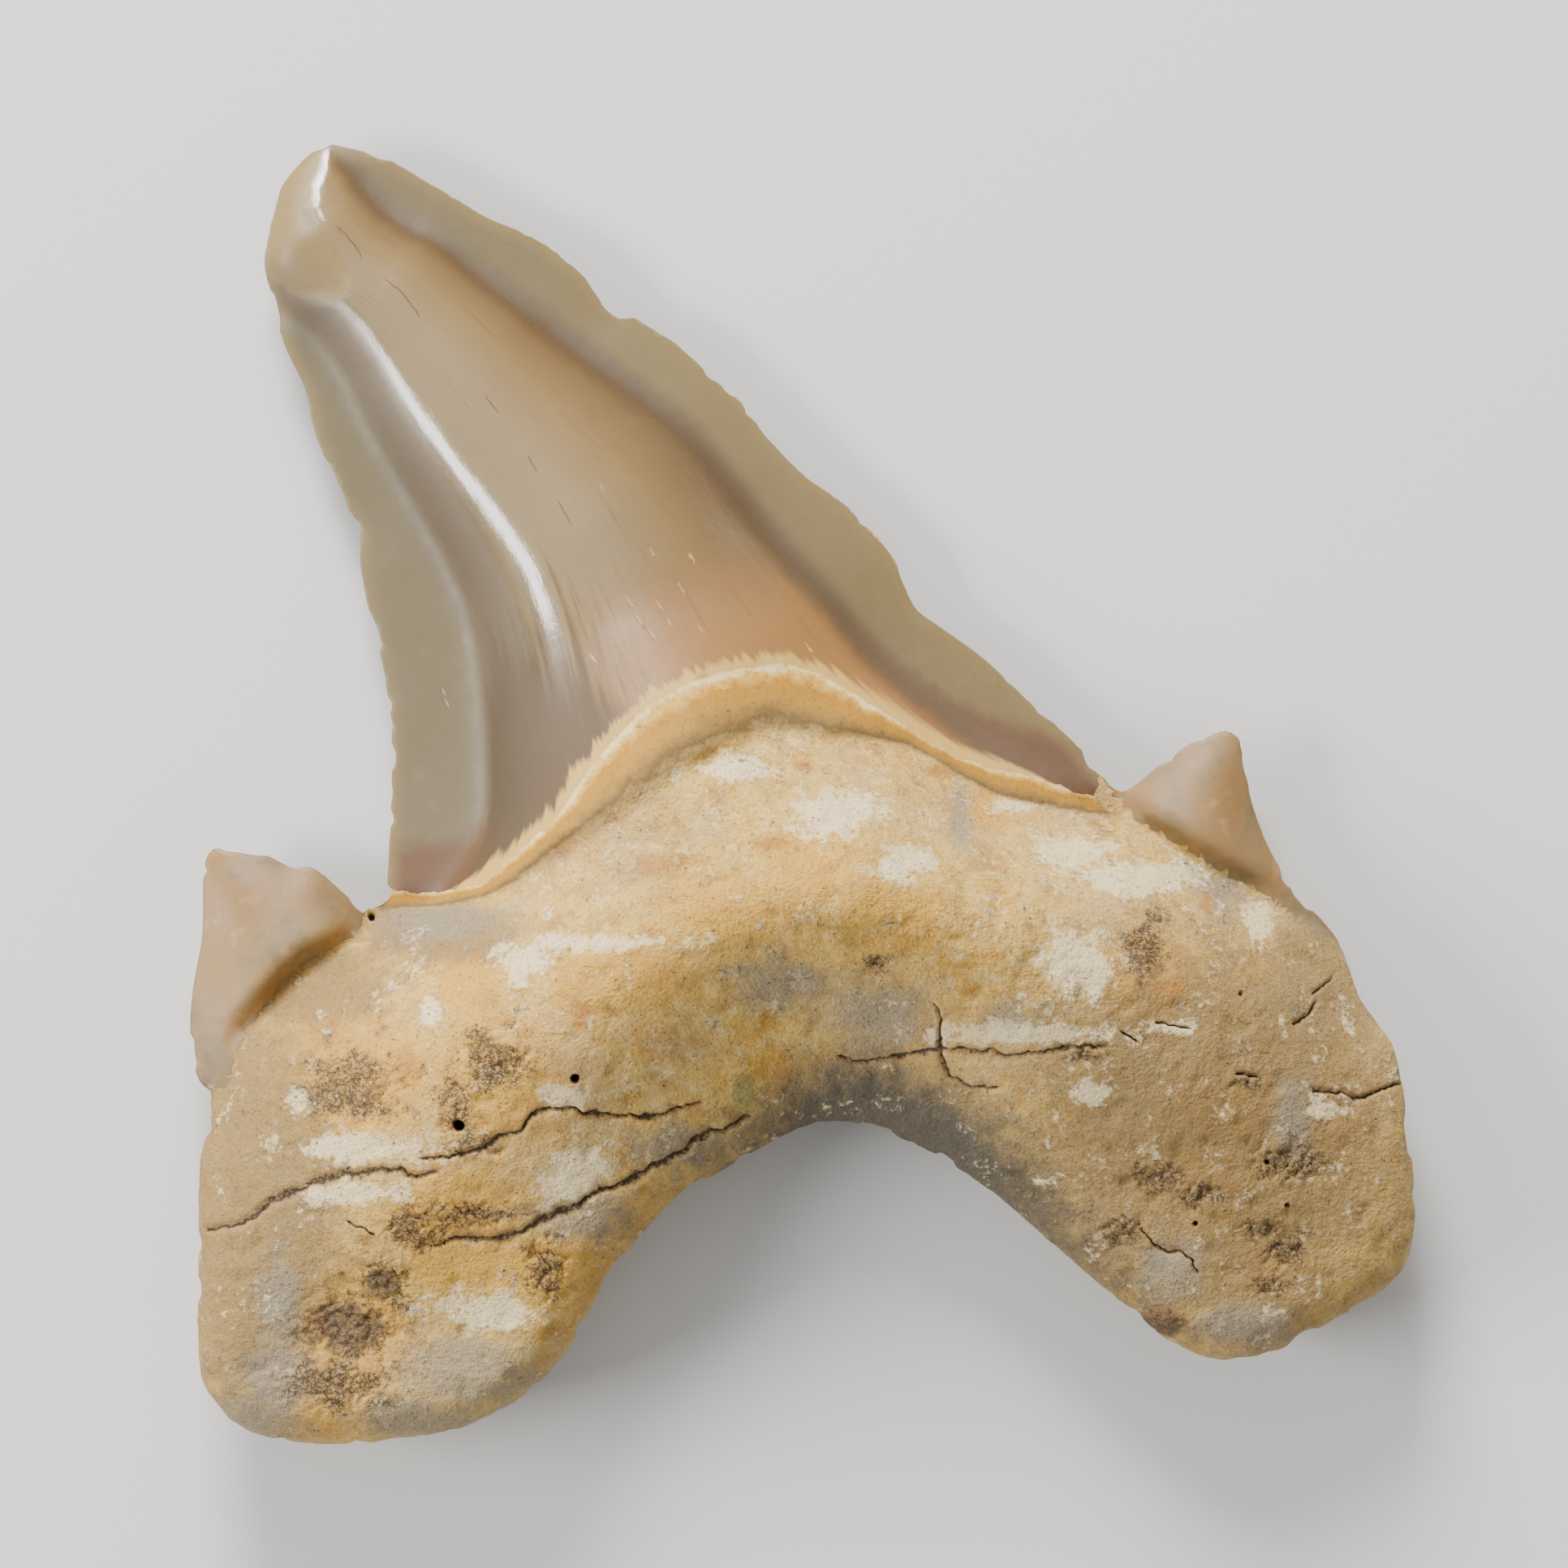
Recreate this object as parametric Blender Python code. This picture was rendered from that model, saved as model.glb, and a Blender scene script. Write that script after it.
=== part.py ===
"""Fossil tooth of an otodus shark, lying on its lip side with its tongue side up.

The tooth is one grown piece: a domed crown that leans to the left, a small side
cusp at each shoulder, a neck band and a thick root with two lobes round an arch.
Its outline is drawn as seen from above. Both faces are heights over that outline.
X runs to the right, Y from the root to the tip, Z from the lip side to the tongue side.
"""

import math

import bmesh
import bpy
import numpy as np
from mathutils import Vector, noise
from mathutils.geometry import delaunay_2d_cdt

# Every size below is in millimetres until the mesh is written in metres
MM = 0.001

# The tooth is 48.4 wide, 51.5 from root to tip and 11.2 through its root

# Heights of the outline's edge above the surface that the tooth lies on
CROWN_EDGE = 1.7
CUSP_EDGE = 2.3
ROOT_EDGE = 4.0
ARCH_EDGE = 4.4

# The outline, counter-clockwise from the tip, in stretches that meet at corners
CROWN_LEFT = [
    (-18.86, 25.73), (-19.44, 25.38), (-20.08, 24.74), (-20.62, 24.06), (-20.88, 23.20),
    (-21.14, 22.14), (-21.33, 20.96), (-21.10, 19.90), (-20.78, 19.14), (-20.69, 18.18),
    (-20.34, 17.28), (-19.70, 15.94), (-19.38, 14.46), (-18.96, 13.28), (-18.38, 11.84),
    (-17.58, 10.46), (-17.52, 9.12), (-17.33, 7.87), (-16.94, 6.27), (-16.59, 4.80),
    (-16.37, 3.07), (-16.27, 1.47), (-16.30, -0.74), (-16.40, -2.72), (-16.43, -3.68),
    (-16.24, -4.00), (-16.62, -4.45), (-17.36, -4.64),
]
LEFT_CUSP = [
    (-17.36, -4.64), (-18.16, -4.00), (-18.80, -3.39), (-19.41, -2.98), (-20.05, -3.04),
    (-20.56, -2.82), (-21.36, -2.43), (-22.22, -2.27), (-23.02, -2.21), (-23.47, -2.40),
    (-23.70, -3.07), (-23.73, -4.32), (-23.76, -5.86), (-23.98, -7.04), (-24.18, -8.32),
    (-24.21, -10.02), (-23.95, -11.17), (-23.50, -11.90),
]
LEFT_LOBE = [
    (-23.50, -11.90), (-23.31, -12.80), (-23.60, -13.86), (-23.76, -14.82), (-23.79, -18.08),
    (-23.79, -21.28), (-23.63, -23.14), (-22.90, -24.35), (-21.68, -25.25), (-20.14, -25.63),
    (-17.90, -25.73), (-15.70, -25.47), (-13.49, -25.12), (-12.08, -24.54), (-10.80, -23.71),
    (-9.65, -22.59), (-8.75, -21.22), (-8.08, -19.94),
]
ARCH = [
    (-8.08, -19.94), (-7.28, -18.75), (-6.64, -17.86), (-5.68, -16.80), (-4.40, -15.74),
    (-2.80, -14.78), (-1.68, -14.11), (-0.56, -13.50), (0.85, -13.02), (2.19, -13.09),
    (3.73, -13.60), (5.62, -14.50), (7.60, -15.87), (9.49, -17.47), (11.47, -19.20),
    (13.20, -20.67), (14.38, -21.60),
]
RIGHT_LOBE = [
    (14.38, -21.60), (15.54, -22.18), (16.82, -22.43), (18.10, -22.34), (19.70, -21.54),
    (21.42, -20.64), (22.58, -19.94), (23.66, -18.94), (24.11, -17.66), (24.21, -16.16),
    (24.02, -14.02), (23.70, -11.58), (23.34, -10.08), (22.70, -9.12), (22.10, -8.22),
    (21.68, -7.04),
]
RIGHT_CUSP = [
    (21.68, -7.04), (21.20, -5.82), (20.24, -4.70), (19.28, -3.52), (18.48, -2.11),
    (17.90, -0.58), (17.62, 0.86), (17.36, 2.05), (16.85, 2.40), (16.08, 2.21),
    (15.02, 1.66), (13.94, 0.86), (13.20, 0.26), (12.56, 0.22), (11.86, 0.64),
]
CROWN_RIGHT = [
    (11.86, 0.64), (10.86, 1.92), (9.36, 3.26), (7.44, 5.12), (5.52, 6.53),
    (4.56, 7.26), (4.02, 8.32), (3.50, 9.50), (1.68, 11.42), (0.08, 12.58),
    (-1.42, 14.14), (-2.26, 15.30), (-3.54, 16.48), (-5.04, 17.82), (-6.64, 18.82),
    (-7.44, 19.07), (-8.56, 20.38), (-9.84, 21.50), (-11.12, 22.24), (-12.40, 22.75),
    (-13.68, 23.52), (-14.96, 24.26), (-16.24, 25.02), (-17.52, 25.44), (-18.86, 25.73),
]

# Lines across the tongue side, from left to right
ENAMEL_FOOT = [
    (-16.30, -3.94), (-14.64, -4.00), (-12.72, -3.68), (-11.12, -2.40), (-9.52, -0.96),
    (-8.24, 0.96), (-6.96, 2.40), (-6.00, 3.30), (-4.56, 4.16), (-3.44, 4.58),
    (-1.84, 4.90), (-0.56, 5.02), (0.72, 4.58), (2.00, 3.94), (3.28, 3.10),
    (4.56, 2.24), (6.00, 1.44), (7.76, 0.84), (9.04, 0.64), (10.20, 0.20), (11.60, -0.20),
]
NECK_LINE = [
    (-16.90, -4.75), (-14.32, -4.60), (-12.40, -4.16), (-11.12, -3.52), (-9.52, -2.24),
    (-7.76, -0.96), (-6.32, 0.00), (-4.72, 1.12), (-3.12, 1.92), (-1.20, 2.56),
    (0.72, 2.24), (2.96, 2.02), (4.24, 1.76), (5.68, 0.96), (6.64, 0.32),
    (8.08, -0.32), (9.68, -0.64), (11.28, -0.90), (12.40, -1.10),
]
LEFT_CUSP_BASE = [
    (-17.30, -4.90), (-17.60, -5.54), (-18.42, -6.11), (-19.41, -6.59), (-20.43, -7.42),
    (-21.20, -8.45), (-22.00, -9.38), (-22.35, -10.53), (-22.61, -11.50), (-23.20, -12.00),
]
RIGHT_CUSP_BASE = [
    (12.50, -0.30), (13.20, -1.06), (14.48, -1.82), (16.40, -2.98), (18.32, -4.06),
    (20.24, -5.42), (21.10, -6.30),
]

# The place of a side cusp's tip among its outline's points
CUSP_TIP = 8

# Where the thin flanges meet the dome, from the tip to the enamel's foot
# and on below the side cusps
FLANGE_LINE_LEFT = [
    (-20.30, 26.40), (-22.20, 23.40), (-22.30, 20.60), (-20.70, 19.20), (-19.28, 18.20),
    (-18.16, 16.67), (-17.26, 14.88), (-16.18, 12.96), (-15.02, 11.04), (-13.94, 9.12),
    (-13.20, 7.46), (-12.72, 5.60), (-12.50, 3.70), (-12.30, 1.28), (-12.30, -0.96),
    (-12.80, -2.56), (-13.90, -3.90), (-16.00, -6.10), (-19.00, -8.20), (-24.00, -10.50),
]
FLANGE_LINE_RIGHT = [
    (-18.10, 25.60), (-17.30, 24.30), (-16.10, 23.10), (-14.30, 22.10), (-13.00, 21.00),
    (-10.90, 19.40), (-9.20, 18.00), (-6.64, 16.10), (-4.40, 14.24), (-2.80, 12.30),
    (-0.98, 9.98), (1.04, 7.78), (3.06, 5.34), (6.10, 2.91), (9.14, 0.86), (11.57, -0.54),
    (14.00, -2.40), (17.50, -4.70), (22.00, -8.00),
]
# The flanges' rise from the cutting edges, and how softly they meet the dome
FLANGE_SLOPE = 0.12
FLANGE_WIDTH = 4.0
FLANGE_CORNER_LEFT = 0.6
FLANGE_CORNER_RIGHT = 0.4
# The dome rises by a power of its width, and its ridge stands left of its middle
DOME_RISE = 0.118
DOME_POWER = 1.45
DOME_RIDGE = 0.40
DOME_WIDEST = 17.0
DOME_FOOT_LEFT = 0.8
DOME_FOOT_RIGHT = 1.1
# The side cusps rise by a share of their width
CUSP_RISE = 0.19
CUSP_WIDEST = 9.0

# The worn facet and the shallow flake scar on the left of the tip
TIP_SCAR = [
    (-18.80, 25.95), (-20.70, 24.80), (-21.60, 22.00), (-21.30, 20.30), (-20.60, 19.75),
    (-20.00, 19.40), (-19.20, 19.20), (-18.30, 19.32), (-17.60, 19.80), (-18.00, 21.20),
    (-19.10, 22.70), (-19.30, 23.60), (-18.90, 24.60),
]
SCAR_DEPTH = 0.12
SCAR_RAMP = 0.35

# The root's crest, from the left lobe over the bulge under the neck to the right lobe
ROOT_CREST = [
    (-18.8, -22.0, 6.9), (-17.3, -18.0, 8.0), (-14.2, -13.2, 9.4), (-8.8, -9.4, 11.0),
    (-3.0, -6.2, 12.2), (2.5, -4.8, 12.6), (7.5, -5.8, 11.8), (12.0, -8.6, 10.2),
    (16.5, -12.4, 8.8), (19.0, -16.5, 7.6), (19.4, -19.5, 6.8),
]
CREST_HALF_WIDTH = 7.5
CREST_DROP = 3.6
# The root's underside slopes to the arch over this depth, most in the middle
ARCH_SLOPE_DEPTH = 10.0
ARCH_SLOPE_SHARE = 0.45
ARCH_SLOPE_HALF_WIDTH = 9.0
ARCH_MIDDLE = 1.0
NECK_SHOULDER = 2.6
SHOULDER_POWER = 1.2
NECK_GROOVE = 0.30
ENAMEL_STEP = 0.12
BASE_GROOVE = 0.22
GROOVE_WIDTH = 0.4
STEP_BLEND = 0.3
REGION_BLEND = 1.4

# How soon each face leaves its edge height, and how round that turn is
CROWN_TURN = (0.35, 0.8)
ROOT_TURN = (4.2, 0.58)
ARCH_TURN = (6.5, 0.85)
LIP_CROWN_TURN = (2.6, 0.9)
LIP_ROOT_TURN = (2.4, 0.55)

# The lip side, nearly flat, with a hollow between the lobes
LIP_HOLLOW = 1.3
LIP_HOLLOW_AT = (0.8, -8.0)
LIP_HOLLOW_SIZE = (9.0, 6.5)
LIP_ROOT_TOP = 2.0
LIP_ROOT_BLEND = 8.0
LIP_CROWN_LIFT = 0.45
LIP_ROOT_LIFT = 0.20
LIP_NECK_LIFT = 0.5
LIP_NECK_AT = -3.0
LIP_NECK_WIDTH = 1.6
# Places where it touches the ground: centre and how deep the full form would sink there
RESTS = [(-16.0, -18.6, 3.4), (18.0, -15.6, 3.2), (-17.3, 19.4, 2.6)]
REST_SINK = 1.25

# Gentle unevenness of the bone
LUMP_SIZE = 4.5
LUMP_HEIGHT = 0.22
TONGUE_SEED = 3.0
LIP_SEED = 9.0

# How closely the mesh's points stand, and the rows inside the outline
POINT_GAP = 0.85
LIP_POINT_GAP = 1.25
EDGE_ROWS = (0.22, 0.65, 1.35)
LEAST_DEPTH = 0.13
MESH_ROUNDS = 8
# The least room round a new point, as a share of the gap: on a drawn line, beside
# the edge rows and over the rest of the face
LINE_ROOM = 0.3
ROW_ROOM = 0.7
GRID_ROOM = 0.55
# How far beside the middle of a bad edge its new point stands, as a share of it
BESIDE = 0.03

# The points of a smooth line, and how far the edge's height blends at a corner
LINE_GAP = 0.8
STEPS_BETWEEN = 12
EDGE_BLEND = 12.0
# Small amounts that keep the distances from a division by nothing
TINY_SQUARE = 1e-6
TINY_RISE = 1e-12

TOOTH_COLOUR = (0.60, 0.49, 0.34, 1.0)
TOOTH_ROUGHNESS = 0.55


def as_points(rows):
    return np.array([row[:2] for row in rows], dtype=float)


def smooth_run(rows, gap):
    """Points at about the given gap along a smooth curve through the rows."""
    knots = as_points(rows)
    before = np.vstack([2 * knots[0] - knots[1], knots[:-1]])
    after = np.vstack([knots[1:], 2 * knots[-1] - knots[-2]])
    fine = []
    for i in range(len(knots) - 1):
        slope_in = (after[i] - before[i]) / 2
        slope_out = (after[i + 1] - before[i + 1]) / 2
        for t in np.linspace(0, 1, STEPS_BETWEEN, endpoint=False):
            fine.append(
                (2 * t**3 - 3 * t**2 + 1) * knots[i]
                + (t**3 - 2 * t**2 + t) * slope_in
                + (3 * t**2 - 2 * t**3) * knots[i + 1]
                + (t**3 - t**2) * slope_out
            )
    fine = np.array(fine + [knots[-1]])
    along = np.concatenate([[0], np.cumsum(np.linalg.norm(np.diff(fine, axis=0), axis=1))])
    marks = np.linspace(0, along[-1], max(2, round(along[-1] / gap) + 1))
    return np.column_stack([np.interp(marks, along, fine[:, k]) for k in (0, 1)])


def outline_and_heights(gap):
    """The closed outline and the height of its edge at each of its points."""
    stretches = [
        (CROWN_LEFT, CROWN_EDGE),
        (LEFT_CUSP, CUSP_EDGE),
        (LEFT_LOBE, ROOT_EDGE),
        (ARCH, ARCH_EDGE),
        (RIGHT_LOBE, ROOT_EDGE),
        (RIGHT_CUSP, CUSP_EDGE),
        (CROWN_RIGHT, CROWN_EDGE),
    ]
    points, heights = [], []
    for rows, height in stretches:
        run = smooth_run(rows, gap)[:-1]
        points.append(run)
        heights.append(np.full(len(run), height))
    points, heights = np.vstack(points), np.concatenate(heights)
    for _ in range(round(EDGE_BLEND / gap**2)):
        heights = (np.roll(heights, 1) + 2 * heights + np.roll(heights, -1)) / 4
    return points, heights


def reach(points, line, heights=None):
    """Smooth distance from a line, and the height of the stretches that are nearest.

    Each piece of the line counts with the inverse cube of its distance, so beside a
    long straight edge the result is the plain distance.
    """
    start, end = line[:-1], line[1:]
    length = np.linalg.norm(end - start, axis=1)
    unit = (end - start) / length[:, None]
    to_start = points[:, None, :] - start[None]
    near = -np.einsum("ijk,jk->ij", to_start, unit)
    far = near + length
    gap = np.maximum(np.einsum("ijk,ijk->ij", to_start, to_start) - near**2, TINY_SQUARE)
    pull = (far / np.sqrt(far**2 + gap) - near / np.sqrt(near**2 + gap)) / gap
    total = pull.sum(axis=1)
    distance = np.sqrt(2 / total)
    if heights is None:
        return distance
    middle = (heights[:-1] + heights[1:]) / 2
    return distance, (pull * middle).sum(axis=1) / total


def beside(points, line):
    """Plain distance from an open line, and on which side: 1 left of its run, -1 right."""
    start, step = line[:-1], np.diff(line, axis=0)
    to_start = points[:, None, :] - start[None]
    share = np.einsum("ijk,jk->ij", to_start, step) / (step**2).sum(axis=1)
    gap = to_start - np.clip(share, 0, 1)[:, :, None] * step
    distance = (gap**2).sum(axis=2)
    nearest = distance.argmin(axis=1)
    at = np.arange(len(points))
    turn = step[nearest, 0] * to_start[at, nearest, 1] - step[nearest, 1] * to_start[at, nearest, 0]
    return np.sqrt(distance[at, nearest]), np.where(turn >= 0, 1.0, -1.0)


def line_distance(points, rows):
    return beside(points, as_points(rows))[0]


def inside(points, loop):
    """True for the points inside a closed loop."""
    x, y = points[:, 0, None], points[:, 1, None]
    x0, y0 = loop[:, 0], loop[:, 1]
    x1, y1 = np.roll(x0, -1), np.roll(y0, -1)
    rise = np.where(y1 == y0, TINY_RISE, y1 - y0)
    crosses = ((y0 > y) != (y1 > y)) & (x < (x1 - x0) * (y - y0) / rise + x0)
    return crosses.sum(axis=1) % 2 == 1


def depth_in(points, loop):
    """Distance from a closed loop, positive inside it."""
    distance = beside(points, np.vstack([loop, loop[:1]]))[0]
    return np.where(inside(points, loop), distance, -distance)


def ease(value):
    value = np.clip(value, 0, 1)
    return value * value * (3 - 2 * value)


def lumps(points, size, seed):
    return np.array([noise.noise(Vector((x / size, y / size, seed))) for x, y in points])


def soft_corner(value, corner):
    return 0.5 * (value + np.sqrt(value**2 + corner**2))


def within_flanges(points):
    """How far inside the left and the right flange line each point stands."""
    left, right = (smooth_run(rows, LINE_GAP) for rows in (FLANGE_LINE_LEFT, FLANGE_LINE_RIGHT))
    (from_left, left_side), (from_right, right_side) = beside(points, left), beside(points, right)
    return left_side * from_left, -right_side * from_right


def across_dome(points):
    """The dome's width at each point, and how far across it the point is, from 0 to 1."""
    in_left, in_right = within_flanges(points)
    from_left = soft_corner(in_left, FLANGE_CORNER_LEFT)
    from_right = soft_corner(in_right, FLANGE_CORNER_RIGHT)
    width = from_left + from_right
    return np.minimum(width, DOME_WIDEST), from_left / width


def crown_height(points):
    """The crown's full height above its cutting edges."""
    width, across = across_dome(points)
    on_left = across < DOME_RIDGE
    share = np.where(on_left, across / DOME_RIDGE, (1 - across) / (1 - DOME_RIDGE))
    foot = np.where(on_left, DOME_FOOT_LEFT, DOME_FOOT_RIGHT)
    dome = DOME_RISE * width**DOME_POWER * (1 - (1 - share**foot) ** 2)
    edges = [smooth_run(rows, LINE_GAP) for rows in (CROWN_LEFT, CROWN_RIGHT)]
    from_edge = np.minimum(*(reach(points, line) for line in edges))
    flange = FLANGE_SLOPE * FLANGE_WIDTH * (1 - np.exp(-from_edge / FLANGE_WIDTH))
    return flange + dome - SCAR_DEPTH * in_scar(points)


def in_scar(points):
    return ease(depth_in(points, smooth_run(TIP_SCAR, LINE_GAP)) / SCAR_RAMP)


def cusp_height(points, rows):
    """A side cusp's height above its own edges."""
    sides = rows[CUSP_TIP:], rows[:CUSP_TIP + 1]
    from_left, from_right = (reach(points, as_points(side)) for side in sides)
    width = from_left + from_right
    share = 2 * np.minimum(from_left, from_right) / width
    return CUSP_RISE * np.minimum(width, CUSP_WIDEST) * (1 - (1 - share) ** 2)


def crest_height(points):
    """Height of the root's full form, highest along its crest."""
    crest = np.array(ROOT_CREST)
    line = smooth_run(ROOT_CREST, LINE_GAP)
    away, height = reach(points, line, np.interp(line[:, 0], crest[:, 0], crest[:, 2]))
    return height - CREST_DROP * (1 - np.exp(-((away / CREST_HALF_WIDTH) ** 2)))


def regions():
    """The closed loops of the root, the two side cusps and the neck band."""
    left_cusp = np.vstack([as_points(LEFT_CUSP), as_points(LEFT_CUSP_BASE)[::-1]])
    right_cusp = np.vstack([as_points(RIGHT_CUSP), as_points(RIGHT_CUSP_BASE)])
    root = np.vstack(
        [as_points(rows)[:-1] for rows in (LEFT_LOBE, ARCH)]
        + [as_points(RIGHT_LOBE)]
        + [as_points(RIGHT_CUSP_BASE)[::-1], as_points(NECK_LINE)[::-1], as_points(LEFT_CUSP_BASE)]
    )
    band = np.vstack([as_points(ENAMEL_FOOT), as_points(NECK_LINE)[::-1]])
    return {"root": root, "left": left_cusp, "right": right_cusp, "band": band}


def region_shares(points):
    """How much of each point belongs to the root, the two side cusps and the crown."""
    loops = regions()
    share = {
        name: ease(0.5 + depth_in(points, loops[name]) / REGION_BLEND)
        for name in ("root", "left", "right")
    }
    share["crown"] = np.clip(1 - sum(share.values()), 0, 1)
    total = sum(share.values())
    return {name: value / total for name, value in share.items()}


def by_the_arch(points):
    """1 beside the middle of the arch, 0 far from it."""
    to_arch = line_distance(points, smooth_run(ARCH, LINE_GAP))
    middle = np.exp(-(((points[:, 0] - ARCH_MIDDLE) / ARCH_SLOPE_HALF_WIDTH) ** 2))
    return middle * (1 - ease(to_arch / ARCH_SLOPE_DEPTH))


def groove_along(points, rows, width):
    return np.exp(-((line_distance(points, rows) / width) ** 2))


def tongue_face(points, outline, edge):
    """Height of the upper face at each point."""
    closed, closed_edge = np.vstack([outline, outline[:1]]), np.append(edge, edge[0])
    from_edge, edge_height = reach(points, closed, closed_edge)
    loops = regions()
    crown = crown_height(points)
    in_root = np.maximum(depth_in(points, loops["root"]), 0)
    shoulder = 1 - np.exp(-((in_root / NECK_SHOULDER) ** SHOULDER_POWER))
    by_arch = by_the_arch(points)
    above_edge = (crest_height(points) - edge_height) * (1 - ARCH_SLOPE_SHARE * by_arch)
    bulge = crown * (1 - shoulder) + above_edge * shoulder

    share = region_shares(points)
    form = (
        bulge * share["root"]
        + cusp_height(points, LEFT_CUSP) * share["left"]
        + cusp_height(points, RIGHT_CUSP) * share["right"]
        + crown * share["crown"]
    )
    on_band = ease(0.5 + depth_in(points, loops["band"]) / STEP_BLEND)
    form = form - ENAMEL_STEP * on_band * share["crown"]
    form = form - NECK_GROOVE * groove_along(points, NECK_LINE, GROOVE_WIDTH)
    for base in (LEFT_CUSP_BASE, RIGHT_CUSP_BASE):
        form = form - BASE_GROOVE * groove_along(points, base, GROOVE_WIDTH)
    form = form + LUMP_HEIGHT * lumps(points, LUMP_SIZE, TONGUE_SEED) * share["root"]

    root_turn, root_power = (a + (b - a) * by_arch for a, b in zip(ROOT_TURN, ARCH_TURN))
    turn = CROWN_TURN[0] + (root_turn - CROWN_TURN[0]) * share["root"]
    power = CROWN_TURN[1] + (root_power - CROWN_TURN[1]) * share["root"]
    return edge_height + form * (1 - np.exp(-from_edge / turn)) ** power


def lip_face(points, outline, edge):
    """Height of the lower face at each point, flat at zero where it touches the ground."""
    closed, closed_edge = np.vstack([outline, outline[:1]]), np.append(edge, edge[0])
    from_edge, edge_height = reach(points, closed, closed_edge)
    is_root = ease((LIP_ROOT_TOP - points[:, 1]) / LIP_ROOT_BLEND)
    hollow = np.exp(-(((points - np.array(LIP_HOLLOW_AT)) / np.array(LIP_HOLLOW_SIZE)) ** 2).sum(axis=1))
    under_neck = np.exp(-(((points[:, 1] - LIP_NECK_AT) / LIP_NECK_WIDTH) ** 2)) * is_root
    low = LIP_CROWN_LIFT + (LIP_ROOT_LIFT - LIP_CROWN_LIFT) * is_root
    low = low + LIP_HOLLOW * hollow + LIP_NECK_LIFT * under_neck
    low = low + LUMP_HEIGHT * lumps(points, LUMP_SIZE, LIP_SEED)
    for x, y, radius in RESTS:
        away = ((points - np.array([x, y])) ** 2).sum(axis=1)
        low = low - REST_SINK * np.exp(-away / radius**2)
    turn = LIP_CROWN_TURN[0] + (LIP_ROOT_TURN[0] - LIP_CROWN_TURN[0]) * is_root
    power = LIP_CROWN_TURN[1] + (LIP_ROOT_TURN[1] - LIP_CROWN_TURN[1]) * is_root
    rounding = (1 - np.exp(-from_edge / turn)) ** power
    return np.maximum(edge_height - (edge_height - low) * rounding, 0)


def inner_rows(outline):
    """Points in rows along the inside of the outline, with each row's depth."""
    tangent = np.roll(outline, -1, axis=0) - np.roll(outline, 1, axis=0)
    tangent /= np.linalg.norm(tangent, axis=1)[:, None]
    inward = np.column_stack([-tangent[:, 1], tangent[:, 0]])
    rows = []
    for depth in EDGE_ROWS:
        row = outline + inward * depth
        rows.append((row[depth_in(row, outline) > 0.9 * depth], depth))
    return rows


def lattice(outline, gap):
    """Points in staggered rows over the whole outline."""
    low, high = outline.min(axis=0), outline.max(axis=0)
    points = []
    for row, y in enumerate(np.arange(low[1], high[1], gap * math.sqrt(0.75))):
        for x in np.arange(low[0] + (row % 2) * gap / 2, high[0], gap):
            points.append((x, y))
    return np.array(points)


def face_mesh(outline, lines, gap):
    """Triangles over the outline: its own points first, then the points inside."""
    rim = len(outline)
    points = outline
    grid = lattice(outline, gap)
    grid = grid[depth_in(grid, outline) > EDGE_ROWS[-1] + LINE_ROOM * gap]
    rows = [(row, LINE_ROOM * gap) for row in lines]
    rows += [(row, ROW_ROOM * row_depth) for row, row_depth in inner_rows(outline)]
    rows += [(grid, GRID_ROOM * gap)]
    for row, space in rows:
        row = row[depth_in(row, outline) > LEAST_DEPTH]
        nearest = np.array([np.min(((points - p) ** 2).sum(axis=1)) for p in row])
        points = np.vstack([points, row[nearest > space**2]])
    for _ in range(MESH_ROUNDS):
        points, faces = triangles(points, rim)
        extra = [beside_middle(points[a], points[b]) for a, b in chords(faces, rim)]
        if not extra:
            break
        points = np.vstack([points, extra])
    return points, faces


def beside_middle(a, b):
    """A point just off the middle of an edge, so that the edge is turned."""
    step = b - a
    return (a + b) / 2 + BESIDE * np.array([-step[1], step[0]])


def chords(faces, rim):
    """Edges that join two points of the outline across the inside."""
    found = set()
    for face in faces:
        for a, b in zip(face, face[1:] + face[:1]):
            if max(a, b) < rim and abs(a - b) not in (1, rim - 1):
                found.add((min(a, b), max(a, b)))
    return sorted(found)


def triangles(points, rim):
    """Delaunay triangles inside the outline, which is the first points."""
    edges = [(i, (i + 1) % rim) for i in range(rim)]
    places, _, faces, *_ = delaunay_2d_cdt([Vector(p) for p in points], edges, [], 0, TINY_SQUARE, False)
    places = np.array([tuple(p) for p in places])
    middles = places[np.array(faces)].mean(axis=1)
    return places, [face for face, held in zip(faces, inside(middles, places[:rim])) if held]


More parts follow.
